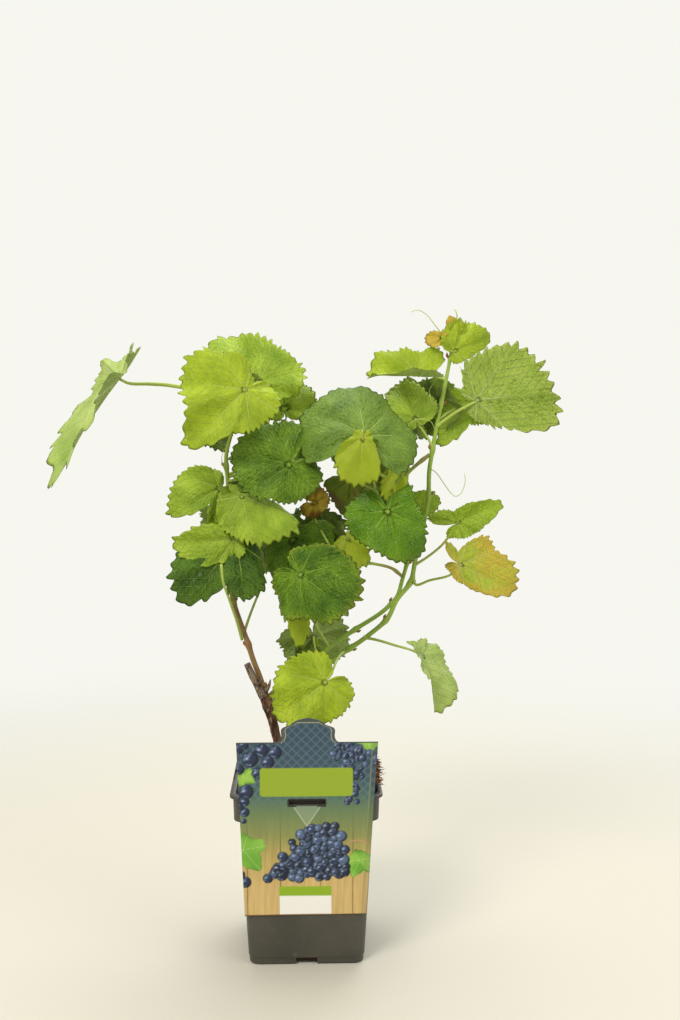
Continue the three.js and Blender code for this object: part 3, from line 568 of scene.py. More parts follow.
def blade(row, index):
    """One leaf: a closed thin blade on a polar grid round its stalk. Radius = length x lobe reach x teeth;
    height = fold + wave + pleats between main veins - curl of the margin + quilting between side veins -
    groove along main veins; then it is bent lengthways and across."""
    name, _, junction, angles, length, reach, (fold, droop, side_droop, wave), quilt, tint = row
    shoulder, pleat, curl, jag = SHAPES.get(name, (0.12, 0.09, 0.10, 0.055))
    rng = np.random.default_rng(100 + index)
    teeth = MANY_TEETH if length > LONG_LEAF else FEW_TEETH
    rows = int(np.clip(length / 3.2, 7, 24))
    n = teeth * PER_TOOTH
    phase = (np.arange(n) + 0.5) / PER_TOOTH
    angle = np.interp(phase / teeth, TEETH_AT, LOBES)
    ends = 0.35 * min(reach[0], reach[-1])
    knots = np.radians([-180, *np.linspace(-150, 150, len(reach)), 180])
    base = np.interp(angle, knots, [ends, *reach, ends]) / 10
    part = np.interp(angle, LOBES, LOBE_STEPS) % 1
    between = np.sin(np.pi * part)
    size = (rng.uniform(0.35, 1.5, teeth) * np.where(np.arange(teeth) % 2 == 0, 1.2, 0.75))
    size = size[np.floor(phase).astype(int) % teeth]
    lean = np.where(np.sin(np.interp(angle, LOBES, LOBE_STEPS) * np.pi) > 0, 0.66, 0.34)
    x = phase % 1
    saw = np.where(x < lean, x / lean, (1 - x) / (1 - lean))
    near_stalk = np.clip((np.pi - np.abs(angle)) / 0.4, 0, 1)
    tip = np.minimum(part, 1 - part)
    lobed = 1 - shoulder * (1 - np.exp(-tip / 0.13)) - 0.5 * shoulder * np.exp(-((0.5 - tip) / 0.08) ** 2)
    rim = length * base * (lobed if len(reach) == 7 else 1)
    rim = rim * np.clip((np.pi - np.abs(angle)) / 0.12, 0.02, 1) ** 0.5
    rim = rim * (1 + jag * size * (2 * saw**0.8 - 1) * near_stalk)
    rho = np.linspace(0, 1, rows + 1)[1:] ** 0.92
    ring_path = np.stack([np.cos(angle), np.sin(angle), np.full(n, 3.0 * index)], -1)
    ruffle = ripple(ring_path, 0.75, index + 1) + 0.5 * ripple(ring_path, 0.33, index + 2)
    r = rho[:, None] * rim[None, :]
    th = np.broadcast_to(angle, r.shape)
    u, v = r * np.cos(th), r * np.sin(th)
    sector = np.floor(np.interp(angle, LOBES, LOBE_STEPS) * 2).astype(int)[None, :]
    count, off, along = rib_map(th, r, length, sector)
    fade = 1 - rho[:, None] ** 5
    puff = 1.25 * quilt * np.abs(np.sin(np.pi * count)) ** 0.7 * np.clip(off / 0.09, 0, 1) * fade
    puff = puff * (0.72 + 0.28 * np.abs(np.sin(17 * np.pi * off)))
    groove = 0.7 * np.exp(-(off * length / 1.3) ** 2) * (1 - along) ** 0.5 * (1 - np.exp(-(r / 6) ** 2))
    flat = np.stack([u, v, np.full_like(u, 7.0 * index)], -1)
    shape = (fold * (np.sqrt(v * v + 9) - 3) + wave * r * r / length * np.sin(5 * th + 3 + index)
             + pleat * r * between**2 - curl * length * (r / length) ** 3
             + 0.045 * length * rho[:, None] ** 2.5 * ruffle[None, :]
             + 0.028 * length * ripple(flat, 0.85 * length, index) * (r / length)
             + 0.014 * length * ripple(flat, 0.4 * length, index + 3) * (r / length))
    thick = 0.32 + 0.5 * np.exp(-(off * length / 1.5) ** 2) * (1 - along)
    thick = thick * np.clip((1 - rho[:, None]) * length / 4, 0, 1)
    t, s, nrm = blade_axes(angles)

    def place(u, v, w):
        u, w = bend(u, w, length, droop)
        v, w = bend(v, w, length, side_droop)
        return np.array(junction, float) + u[..., None] * t + v[..., None] * s + w[..., None] * nrm

    top = place(u, v, shape + puff - groove)
    low = place(u[:-1], v[:-1], (shape + puff - groove - thick)[:-1])
    zero = np.zeros(1)
    verts = np.concatenate([top.reshape(-1, 3), low.reshape(-1, 3), place(zero, zero, zero),
                            place(zero, zero, zero - 1.0)])
    ring = np.arange(n)
    count_low = rows * n
    top_quads = grid_quads(rows, n)
    low_quads = grid_quads(rows - 1, n, start=count_low)[:, ::-1]
    last = count_low + (rows - 2) * n + ring
    top_rim = (rows - 1) * n + ring
    rim_quads = np.stack([last, np.roll(last, -1), np.roll(top_rim, -1), top_rim], -1)[:, ::-1]
    middle = rows * n + (rows - 1) * n
    faces = [top_quads, fan(ring, middle), low_quads, rim_quads, fan(count_low + ring, middle + 1, flip=True)]
    all_r = np.concatenate([r.ravel(), r[:-1].ravel(), [0, 0]])
    all_angle = np.concatenate([th.ravel(), th[:-1].ravel(), [0, 0]])
    all_rho = np.concatenate([np.repeat(rho, n), np.repeat(rho[:-1], n), [0, 0]])
    columns = np.concatenate([np.tile(ring, rows), np.tile(ring, rows - 1), [0, 0]])
    rib, span, bake = [], [], []
    extent = rim.max() * 1.02
    for f in faces:
        col = columns[f]
        outer = np.where(all_r[f] > 0, col, -1)
        has_seam = (outer.max(1) == n - 1) & (np.where(outer < 0, n, outer).min(1) == 0)
        first = np.where(has_seam, n - 1, np.where(outer < 0, n, outer).min(1))
        cell_sector = np.floor(np.interp(angle[first], LOBES, LOBE_STEPS) * 2).astype(int)[:, None]
        a = np.where(all_r[f] > 0, all_angle[f], angle[first][:, None])
        c, o, al = rib_map(a, all_r[f], length, cell_sector)
        rib.append(np.stack([c, o], -1))
        span.append(np.stack([al, all_rho[f]], -1))
        flat_u, flat_v = all_r[f] * np.cos(a), all_r[f] * np.sin(a)
        bake.append(np.stack([flat_u, flat_v], -1) / extent * 0.48 + 0.5)
    marks = [np.zeros(len(faces[0]), int), np.zeros(len(faces[1]), int),
             *(np.ones(len(f), int) for f in faces[2:])]
    return {"v": verts, "f": faces, "m": marks, "uv": {"rib": rib, "span": span, "OFBake": bake}, "tint": tint}


def leaf_pieces(rows):
    """Joins the leaves of each mass, gives every blade side its own cell of the bake map, and writes the
    pieces."""
    for mass in dict.fromkeys(row[1] for row in rows):
        parts = [blade(row, i) for i, row in enumerate(rows) if row[1] == mass]
        cells = math.ceil(math.sqrt(2 * len(parts)))
        materials, order = [], {}
        for k, part in enumerate(parts):
            sides = (LEAF_TOPS[part["tint"]], LEAF_UNDERS[UNDER_OF.get(part["tint"], "pale_under")])
            for material in sides:
                if material.name not in order:
                    order[material.name] = len(materials)
                    materials.append(material)
            for j, uv in enumerate(part["uv"]["OFBake"]):
                cell = 2 * k + int(part["m"][j][0])
                part["uv"]["OFBake"][j] = (uv + [cell % cells, cell // cells]) / cells
            part["m"] = [np.full(len(m), order[sides[int(m[0])].name]) for m in part["m"]]
        write_piece(f"leaves_{mass}", join(parts), materials,
                    (f"foliage_{mass}",))


def side_leaves(rows):
    """Two more leaves beside each rear one, by a seeded rule: each stands 6 to 20 mm to one side of it and a
    little nearer the front, hangs down, faces its own side and is smaller, so that the crown is full from
    the sides too."""
    rng = np.random.default_rng(77)
    more = []
    for row in rows:
        if "rear" not in row[0] and row[0] != "centre_back":
            continue
        for way in (-1, 1):
            x, y, z = row[2]
            spot = (x + way * rng.uniform(6, 20), y - rng.uniform(2, 18), z + rng.uniform(-26, 8))
            face = (way * rng.uniform(0, 24), rng.uniform(-26, -8), 180 - way * rng.uniform(50, 84))
            size = row[4] * rng.uniform(0.68, 0.92)
            tint = ("mid", "fresh", "deep", "mid")[int(rng.integers(4))]
            more.append((f"{row[0]}_{'left' if way < 0 else 'right'}", row[1], spot, face, size, row[5],
                         (0.12, 24, 12, 0.05), 0.7, tint))
    return more


LEAVES += side_leaves(LEAVES)
leaf_pieces(LEAVES)


# ---------------------------------------------------------------- trunk and shoots

SHOOTS = {
    "left_shoot": ([(-42, 1, 257), (-47, 3, 275), (-54, 5, 293), (-61, 6, 315), (-69, 8, 337), (-76, 10, 360),
                    (-80, 12, 391), (-73, 12, 423), (-77, 12, 445), (-80, 10, 480), (-81, 8, 506), (-76, 6, 526),
                    (-69, 4, 549), (-63, 0, 566)], [2.9, 2.7, 2.4, 2.3, 2.2, 2, 1.4], 1.15),
    "right_leader": ([(-37, 4, 248), (-6, 14, 267), (25, 20, 289), (65, 18, 317), (85, 14, 336), (94, 12, 355),
                      (108, 10, 374), (113, 10, 397), (120, 10, 428), (126, 10, 459), (127, 8, 490),
                      (130, 6, 511),
                      (134, 4, 536), (141, 2, 572), (148, 0, 612), (152, 0, 643)],
                     [3, 2.6, 2.4, 2.4, 2.3, 2.2, 2, 1.1], 0.5),
    "right_second_shoot": ([(-39, 13, 254), (-11, 22, 278), (17, 28, 297), (48, 29, 319), (83, 26, 343),
                            (95, 25, 356), (101, 25, 375), (108, 25, 402), (112, 24, 438), (100, 22, 462),
                            (84, 20, 482)], [2.7, 2.4, 2.3, 2.2, 2, 1.6, 1.2], 0.4),
}
CROSS_SHOOTS = {
    "cross_shoot_mid": ([(100, 22, 379), (89, 14, 388), (71, 10, 393), (47, 6, 396), (30, 0, 404)],
                        [1.7, 1.5, 1.2]),
    "cross_shoot_high": ([(127, 8, 506), (118, 8, 499), (109, 10, 491), (100, 12, 482), (89, 14, 475),
                          (72, 14, 470)], [1.9, 1.8, 1.6]),
}
NODE_GAP = 47                 # between the nodes of a main shoot


def knuckles(spacing, height, seed):
    """Swelling at the nodes of a cane: a bell curve at each node, with five soft ridges and an uneven
    surface."""
    def swell(run, turn):
        place = (run / spacing + 0.35 * math.sin(seed)) % 1 - 0.5
        node = np.exp(-(place * spacing / 4.2) ** 2)
        ridges = 0.035 * np.cos(5 * turn + run / 60) + 0.02 * np.cos(11 * turn + seed)
        return 1 + height * node + ridges
    return swell


def shoots():
    cane = stem_material("young_cane", "#8a5e3c", "#94a848", "#7c8f3c", 0.9)
    for i, (name, (path, radii, split)) in enumerate(SHOOTS.items()):
        part = tube(path, radii, sides=20, count=240, swell=knuckles(NODE_GAP, 0.38, i + 1))
        skin = cane if split > 1 else stem_material(f"{name}_cane", "#8f7440", "#8dab3c", "#a9bd5c", split - 0.4)
        write_piece(f"cane_{name}", part, [skin], (name,))
    twigs = [tube(path, radii, sides=14, count=70, swell=knuckles(34, 0.3, 7)) for path,
             radii in CROSS_SHOOTS.values()]
    skin = stem_material("side_shoot_skin", "#8b7a3c", "#93ab45", "#a9bd5c", 0.1)
    write_piece("side_shoots", join(twigs), [skin])


shoots()

BARK_PATH = [(-18, -4, 161.2), (-20.5, -3.6, 171), (-25, -3, 187), (-31, -2, 217), (-36, -2, 238),
             (-42, -1, 254),
             (-46, -2, 262)]


def trunk():
    """Old wood with shredding bark: a flared, leaning cylinder whose radius rises and falls in long strips."""
    def swell(run, turn):
        strips = np.stack(np.broadcast_arrays(6 * np.cos(turn), 6 * np.sin(turn), run / 7), -1)
        fine = np.stack(np.broadcast_arrays(6 * np.cos(turn), 6 * np.sin(turn), run / 2.4), -1)
        flare = 0.55 * np.exp(-run / 9.0) * (1 + 0.35 * np.cos(3 * turn + 1))
        fork = 0.3 * np.exp(-((run - 92) / 9) ** 2)
        ridge = 1 - np.abs(ripple(strips, 4.2, 2))
        return 1 + flare + fork + 0.20 * (ridge - 0.5) + 0.07 * ripple(fine, 2.6, 5)
    bark = rough_material("shredding_vine_bark", "#3a271c", "#7a5a41", "#a58a6c", 5, 0.8,
                          squash=(1.0, 1.0, 0.22))
    body = tube(BARK_PATH, [4.6, 4.3, 4.2, 4.2, 4.4, 4.6, 3.4], sides=96, count=220, swell=swell)
    heel = tube([(-40, 1, 247), (-39, 8, 249), (-38.5, 14, 254)], [3.6, 3.0, 2.8], 24, 30, knuckles(20, 0.2, 3))
    collar = tube([(-44, 0, 256), (-43, 1, 260), (-43, 1.5, 264)], [4.4, 3.8, 3.0], 24, 24, knuckles(9, 0.2, 2))
    write_piece("bark_trunk", join([body, heel, collar]), [bark], ("trunk", "second_shoot_heel"))
    dead = rough_material("weathered_dead_wood", "#4a3b30", "#8a7763", "#b3a28c", 4, 0.6, squash=(1.0, 1.0, 0.3))
    stub = tube([(-44, -3, 258), (-53, -6, 276), (-60, -8, 293)], [4.2, 3.5, 3.3], 48, 60,
                lambda run, turn: 1 + 0.09 * np.cos(3 * turn + run / 6) + 0.06 * np.cos(7 * turn - run / 9))
    spurs = [tube([(-41, -4, 264), (-38, -5, 270), (-36.5, -5, 276)], [2.4, 1.7, 0.6], 12, 14),
             tube([(-50, -8, 271), (-46, -10, 276), (-45, -11, 280)], [1.8, 1.3, 0.4], 12, 14)]
    write_piece("dead_stub", join([stub, *spurs]), [dead], ("pruned_stub",))


trunk()


# ---------------------------------------------------------------- leaf stalks, buds, tendrils

STALK_PATHS = {
    "far_left": [(-76, 6, 530), (-88, 2, 556), (-107, 0, 569), (-137, 0, 576), (-155, -10, 577),
                 (-174, -30, 577),
                 (-181, -40, 581)],
    "right_hang": [(60, 18, 315), (74, 10, 313.5), (92, 4, 309), (108, -4, 305.5), (119, -10, 302)],
    "yellow": [(111, 10, 384), (113, 6, 372), (127, 0, 377), (149, -10, 385), (156, -15, 395)],
    "bow": [(113, 10, 392), (124, 4, 400), (140, 0, 414), (154, -10, 437)],
    "right_under": [(134, 4, 535), (140, 2, 540), (154, -2, 550), (173, -5, 560)],
    "right_behind": [(135, 4, 541), (146, 8, 549), (160, 12, 556), (173, 14, 560)],
    "low_front": [(40, 22, 299), (36, 6, 300), (30, -24, 297), (23, -48, 288), (19, -54, 284)],
    "top_left": [(143, 2, 582), (132, -2, 585), (122, -6, 587), (113, -9, 586)],
    "mid_right": [(130, 5, 514), (124, 4, 524), (117, 2, 534), (112, 1, 541)],
}


BARE_STALKS = [[(-66, 4, 316), (-70, -12, 337), (-76, -36, 363), (-81, -54, 385), (-82, -60, 401)],
               [(-65, 8, 319), (-59, 14, 337), (-52, 18, 355), (-46, 20, 369)]]


def stalk_paths():
    """A path from the nearest place on a shoot, a little below the blade, to each blade's junction."""
    limbs = np.concatenate([smooth_path(p[0], 160)[6:] for p in SHOOTS.values()]
                           + [smooth_path(p[0], 60) for p in CROSS_SHOOTS.values()])
    paths = {}
    for row in LEAVES:
        junction = np.array(row[2], float)
        if row[0] in STALK_PATHS:
            back = blade_axes(row[3])[2] * STALK_SINK
            paths[row[0]] = [*STALK_PATHS[row[0]][:-1], tuple(np.array(STALK_PATHS[row[0]][-1]) - back)]
            continue
        aim = junction + [0, 12, -0.30 * row[4]]
        start = limbs[np.argmin(np.linalg.norm((limbs - aim) * [1, 0.6, 1], axis=1))]
        t, _, n = blade_axes(row[3])
        gap = np.linalg.norm(junction - start)
        behind = junction - n * 0.28 * gap - t * 0.16 * gap
        middle = start + (behind - start) * 0.5 + [0, 0, -0.05 * gap]
        paths[row[0]] = [tuple(start), tuple(middle), tuple(behind), tuple(junction - n * STALK_SINK)]
    return paths


def stalks():
    parts = []
    for name, path in stalk_paths().items():
        length = next(row[4] for row in LEAVES if row[0] == name)
        thick = 0.75 + length / 110
        swell = lambda run, turn: 1 + 0.05 * np.cos(2 * turn) + 0.35 * np.exp(-run / 3.0)
        parts.append(tube(path, [thick * 1.15, thick, thick * 0.95, thick * 0.7], 12, 40, swell))
    for path in BARE_STALKS:
        radii = [1.5, 1.3, 1.2, 1.1, 1.35][:len(path)]
        parts.append(tube(path, radii, 12, 30, lambda run, turn: 1 + 0.05 * np.cos(2 * turn)))
    skin = stem_material("leaf_stalk_skin", "#a9a04e", "#a5b84e", "#b7c468", -0.6, 0.4)
    write_piece("leaf_stalks", join(parts), [skin],
                ("stalk_far_left", "stalk_low_front", "stalk_right_hang", "stalk_yellow", "stalk_far_right"))


stalks()


def buds():
    """A pointed bud or stipule scar at each node of a shoot: a tiny teardrop of revolution on alternate
    sides."""
    parts = []
    for k, (path, _, _) in enumerate(SHOOTS.values()):
        line = smooth_path(path, 240)
        ahead, side, _ = frames(line)
        run = np.concatenate([[0], np.cumsum(np.linalg.norm(np.diff(line, axis=0), axis=1))])
        shift = NODE_GAP * (0.35 * math.sin(k + 1))
        nodes = np.arange(1, int(run[-1] / NODE_GAP) + 1) * NODE_GAP - shift - NODE_GAP / 2
        for j, at in enumerate(nodes[(nodes > 8) & (nodes < run[-1] - 6)]):
            i = int(np.argmin(np.abs(run - at)))
            out = side[i] * (1 if j % 2 else -1)
            start = line[i] + out * 1.5
            parts.append(tube([start, start + out * 2 + ahead[i] * 1.8, start + out * 2.8 + ahead[i] * 5.2],
                              [1.3, 1.5, 0.25], 10, 10))
    skin = stem_material("bud_scale_skin", "#8c5a34", "#a08a45", "#7c5a30", 2.0, 0.55)
    write_piece("buds", join(parts), [skin])


buds()

TENDRILS = {
    "top": ([(147, 0, 612), (142, -1, 622), (131, -4, 636), (120, -7, 648), (112, -9, 651), (106, -10, 649)],
            .6),
    "tip": ([(151, 0, 638), (153, -2, 646), (151, -4, 651), (149.5, -4, 652)], .7),
    "right_loop": ([(127, 8, 492), (133, 6, 488), (143, 2, 474), (149, 0, 466), (153, -1, 463.5), (158, -1, 466),
                    (161, 0, 471), (163, 0, 480), (162, 0, 487)], .5),
    "centre_curl": ([(104, 10, 519), (106, 2, 527), (104, -6, 535), (110, -12, 541), (118, -12, 542),
                     (126, -8, 540),
                     (131, -2, 532)], .5),
    "upper_curl": ([(136, 4, 548), (130, -2, 556), (126, -6, 563), (125, -8, 571), (128, -6, 577)], .4),
    "right_twirl": ([(150, 0, 600), (158, -4, 604), (165, -6, 600), (166, -4, 593), (160, -2, 590),
                     (156, -4, 595)], .45),
    "left_wisp": ([(-80, 10, 488), (-84, 4, 494), (-85, 0, 504), (-82, -3, 512)], .5),
}


def tendrils():
    parts = [tube(path, [r, r * 0.85, r * 0.6], 8, 60) for path, r in TENDRILS.values()]
    skin = stem_material("tendril_skin", "#a9b85a", "#b7c46a", "#c3cc80", -0.5, 0.4)
    write_piece("tendrils", join(parts), [skin])


tendrils()


# ---------------------------------------------------------------- pot and soil

def square_ring(half, corner, z, corner_steps=10, side_steps=8):
    """A square loop with round corners at height z: quarter circles, with points spread along the straight
    sides."""
    loop = []
    for side in range(4):
        middle = side * math.pi / 2 + math.pi / 4
        centre = (half - corner) * math.sqrt(2) * np.array([math.cos(middle), math.sin(middle)])
        turn = side * math.pi / 2 + np.linspace(0, math.pi / 2, corner_steps + 1)
        arc = centre + corner * np.stack([np.cos(turn), np.sin(turn)], -1)
        after = (side + 1) * math.pi / 2 + math.pi / 4
        next_centre = (half - corner) * math.sqrt(2) * np.array([math.cos(after), math.sin(after)])
        start = next_centre + corner * np.array([math.cos((side + 1) * math.pi / 2),
                                                 math.sin((side + 1) * math.pi / 2)])
        share = np.linspace(0, 1, side_steps + 2)[1:-1, None]
        loop += [arc, arc[-1] * (1 - share) + start * share]
    loop = np.concatenate(loop)
    return np.column_stack([loop, np.full(len(loop), z)])


def pot():
    """Moulded pot: one closed wall through a profile of square rings, then drainage notches and slots cut
    out."""
    outer = [(55.6, 9, 0), (56.4, 9.6, 0.3), (56.9, 10, 1.0), (57.1, 10, 2.0), (57.2, 10, 6.4), (57.5, 10, 6.9),
             (57.9, 10.4, 7.4), (58.1, 10.5, 8.4)]
    outer += [(58.1 + 7.8 * k / 12, 10.5, 8.4 + (147.6 - 8.4) * k / 12) for k in range(1, 13)]
    outer += [(66.2, 10.5, 148.4), (66.9, 11, 149), (70.2, 11, 149), (71.0, 11, 149.3), (71.2, 11, 150),
              (71.9, 11, 171.6), (72.2, 11, 172.3), (74.2, 12, 172.4), (74.9, 12, 172.8), (75, 12, 173.4),
              (75, 12, 174.8), (74.8, 12, 175.3), (74.3, 12, 175.5), (70.1, 11, 175.5), (69.6, 11, 175.3),
              (69.4, 11, 174.8), (68.8, 11, 151), (68.5, 11, 150.2), (65, 9, 147.9), (64.3, 9, 147.2),
              (64, 9, 146)]
    outer += [(64 - 8 * k / 6, 9, 146 - 140 * k / 6) for k in range(1, 7)]
    outer += [(55.6, 8.6, 4), (54.6, 8, 2.9), (52, 8, 2.6)]
    part = outward(lathe([square_ring(*row) for row in outer], ((0, 0, 0), (0, 0, 2.6))))
    piece = write_piece("moulded_pot", part, [pot_material()], ("pot",))
    boxes = []
    for side in range(4):
        c, s = [(1, 0), (0, 1), (-1, 0), (0, -1)][side]
        for (wide, deep, low, high, at) in ((21, 15, -5, 6.5, 52.5), (38, 1.8, 173.3, 180, 73.2)):
            corners = np.array([(x, y, z) for z in (low, high) for x, y in
                                ((-wide / 2, -at - deep / 2), (wide / 2, -at - deep / 2),
                                 (wide / 2, -at + deep / 2), (-wide / 2, -at + deep / 2))], float)
            turned = corners @ np.array([[c, s, 0], [-s, c, 0], [0, 0, 1]])
            boxes.append({"v": turned, "f": [np.array([[0, 3, 2, 1], [4, 5, 6, 7], [0, 1, 5, 4], [1, 2, 6, 5],
                                                       [2, 3, 7, 6], [3, 0, 4, 7]])]})
    cutter_part = join(boxes)
    cutter_mesh = bpy.data.meshes.new("cutter")
    cutter_mesh.from_pydata((cutter_part["v"] * MM).tolist(), [], np.concatenate(cutter_part["f"]).tolist())
    cutter = bpy.data.objects.new("cutter", cutter_mesh)
    bpy.context.scene.collection.objects.link(cutter)
    cut = piece.modifiers.new("notches", "BOOLEAN")
    cut.operation, cut.solver, cut.object = "DIFFERENCE", "EXACT", cutter
    bpy.context.view_layer.update()
    shaped = bpy.data.meshes.new_from_object(piece.evaluated_get(bpy.context.evaluated_depsgraph_get()))
    piece.modifiers.clear()
    piece.data = shaped
    bpy.data.objects.remove(cutter)
    shaped.polygons.foreach_set("use_smooth", np.full(len(shaped.polygons), True))
    shaped.set_sharp_from_angle(angle=math.radians(38))


pot()
SOIL_SEAT = (-18.0, -4.0)


def soil_height(x, y):
    """Heaped towards +X and lumpy at three sizes, level at the trunk's foot."""
    ramp = np.clip((x + 0.15 * y + 25) / 87, 0, 1)
    heap = 21 * ramp * ramp * (3 - 2 * ramp)
    p = np.stack([x, y, np.zeros_like(x)], -1)
    lumps = 2.0 * ripple(p, 34, 1) + 1.3 * ripple(p, 11, 2) + 0.8 * ripple(p, 4.5, 3)
    far = np.clip((np.hypot(x - SOIL_SEAT[0], y - SOIL_SEAT[1]) - 8) / 16, 0, 1)
    bank = 14 * np.exp(-((x - 65) / 11) ** 2) * np.exp(-((y + 6) / 36) ** 2)
    return 160.3 + heap * far + lumps * (0.35 + 0.65 * far) + bank


def soil():
    """Potting mix: a lumpy top on shrinking square rings over a plain closed block inside the pot's wall."""
    walls = ((55.4, 8, 3.1), (63.4, 9, 147.4), (68.1, 11, 151))     # half width, corner radius, height
    rings = [square_ring(*wall, 14, 34) for wall in walls]
    half, corner, _ = walls[-1]
    for share in np.linspace(1, 0.015, 62):
        ring = square_ring(half * share, corner * share, 0, 14, 34)
        ring[:, 2] = soil_height(ring[:, 0], ring[:, 1])
        rings.append(ring)
    ends = ((0, 0, walls[0][2]), (0, 0, float(soil_height(np.zeros(1), np.zeros(1))[0])))
    peat = rough_material("moist_peat_mix", "#1d1410", "#3d2b20", "#5f4430", 3, 1.2)
    write_piece("potting_soil", outward(lathe(rings, ends)), [peat], ("soil",))


soil()


def chips(count=1500):
    """Bark fibres on the soil: flat spindles of eight points, thrown at random with a seeded generator."""
    rng = np.random.default_rng(42)
    spilt = 420               # fibres that lie over the rim
    x, y = rng.uniform(-65, 65, count), rng.uniform(-65, 65, count)
    x = np.where(np.arange(count) % 4 == 0, 48 + 18 * np.abs(x) / 65, x)
    spill = rng.uniform(0, 1, spilt)
    x, y = np.concatenate([x, 65 + 9.5 * spill]), np.concatenate([y,
                                                                  np.clip(rng.normal(-6, 24, spilt), -58, 55)])
    keep = np.hypot(x - SOIL_SEAT[0], y - SOIL_SEAT[1]) > 9
    x, y = x[keep], y[keep]
    n = len(x)
    long = rng.uniform(2.2, 8.5, n) * (1 + 0.7 * (x > 20))
    wide = rng.uniform(0.35, 1.2, n)
    turn, rise = rng.uniform(0, 2 * np.pi, n), rng.uniform(-0.25, 0.55, n)
    d = np.stack([np.cos(turn) * np.cos(rise), np.sin(turn) * np.cos(rise), np.sin(rise)], -1)
    e = np.stack([-np.sin(turn), np.cos(turn), np.zeros(n)], -1)
    f = np.cross(d, e)
    rim_x, rim_top = 66, 181      # where the pot's rim begins on the heaped side, and how high fibres lie on it
    over = np.clip((x - rim_x) / 9, 0, 1)
    ground = soil_height(np.minimum(x, rim_x), y) * (1 - over) + rim_top * over
    low = np.where(x > rim_x, np.maximum(ground, rim_top), ground) + 0.4 + np.abs(d[:, 2]) * long * 0.3
    centre = np.stack([x, y, low], -1)
    rows = []
    for at, size in ((-0.5, 0.25), (-0.2, 1.0), (0.2, 0.9), (0.5, 0.2)):
        sag = -np.abs(at) ** 2 * long * rng.uniform(-0.3, 0.5, n)
        middle = centre + d * (long * at)[:, None] + f * sag[:, None]
        rows.append(np.stack([middle + e * (wide * size * a / 2)[:, None] + f * (wide * size * b * 0.22)[:, None]
                              for a, b in ((-1, -1), (1, -1), (1, 1), (-1, 1))], 1))
    verts = np.stack(rows, 1)
    inside = ((np.abs(verts[..., 0]).max((1, 2)) < 68) | (x > 64)) & (np.abs(verts[..., 1]).max((1, 2)) < 68)
    verts = verts[inside]
    n = len(verts)
    quads = grid_quads(4, 4)
    ends = np.array([[3, 2, 1, 0], [12, 13, 14, 15]])
    cell = np.concatenate([quads, ends])
    faces = (cell[None] + 16 * np.arange(n)[:, None, None]).reshape(-1, 4)
    kinds = np.repeat(rng.choice(3, n, p=[0.45, 0.33, 0.22]), len(cell))
    part = {"v": verts.reshape(-1, 3), "f": [faces], "m": [kinds]}
    stuff = [rough_material("dark_bark_fibre", "#2a1c14", "#4a3324", "#6a4a34", 3, 0.3),
             rough_material("brown_bark_fibre", "#5a3a22", "#7d5232", "#9a6c44", 3, 0.3),
             rough_material("orange_bark_fibre", "#8a5428", "#a86c38", "#c08a54", 3, 0.3)]
    write_piece("bark_fibres", part, stuff, smooth=False)


chips()


# ---------------------------------------------------------------- printed card

CARD = dict(low=52.5, high=232.0, low_half=60.0, high_half=68.3, lean=0.119, front=-62.3, thick=0.5, centre=0.9)
TAB_HEIGHTS = [0, 1.5, 4, 7, 10, 12.5, 14.5, 16, 17.2, 18.5, 20, 21.8, 23.3, 24.3]
TAB_HALF = [29.4, 27.2, 26, 25.6, 26, 26, 24.5, 21, 17, 15.8, 14.2, 11, 6.5, 0.6]
CELL = 0.76


def soft(edge, width=0.5):
    """1 where edge is well below 0, 0 well above, with a soft step between."""
    return np.clip(0.5 - edge / width, 0, 1)


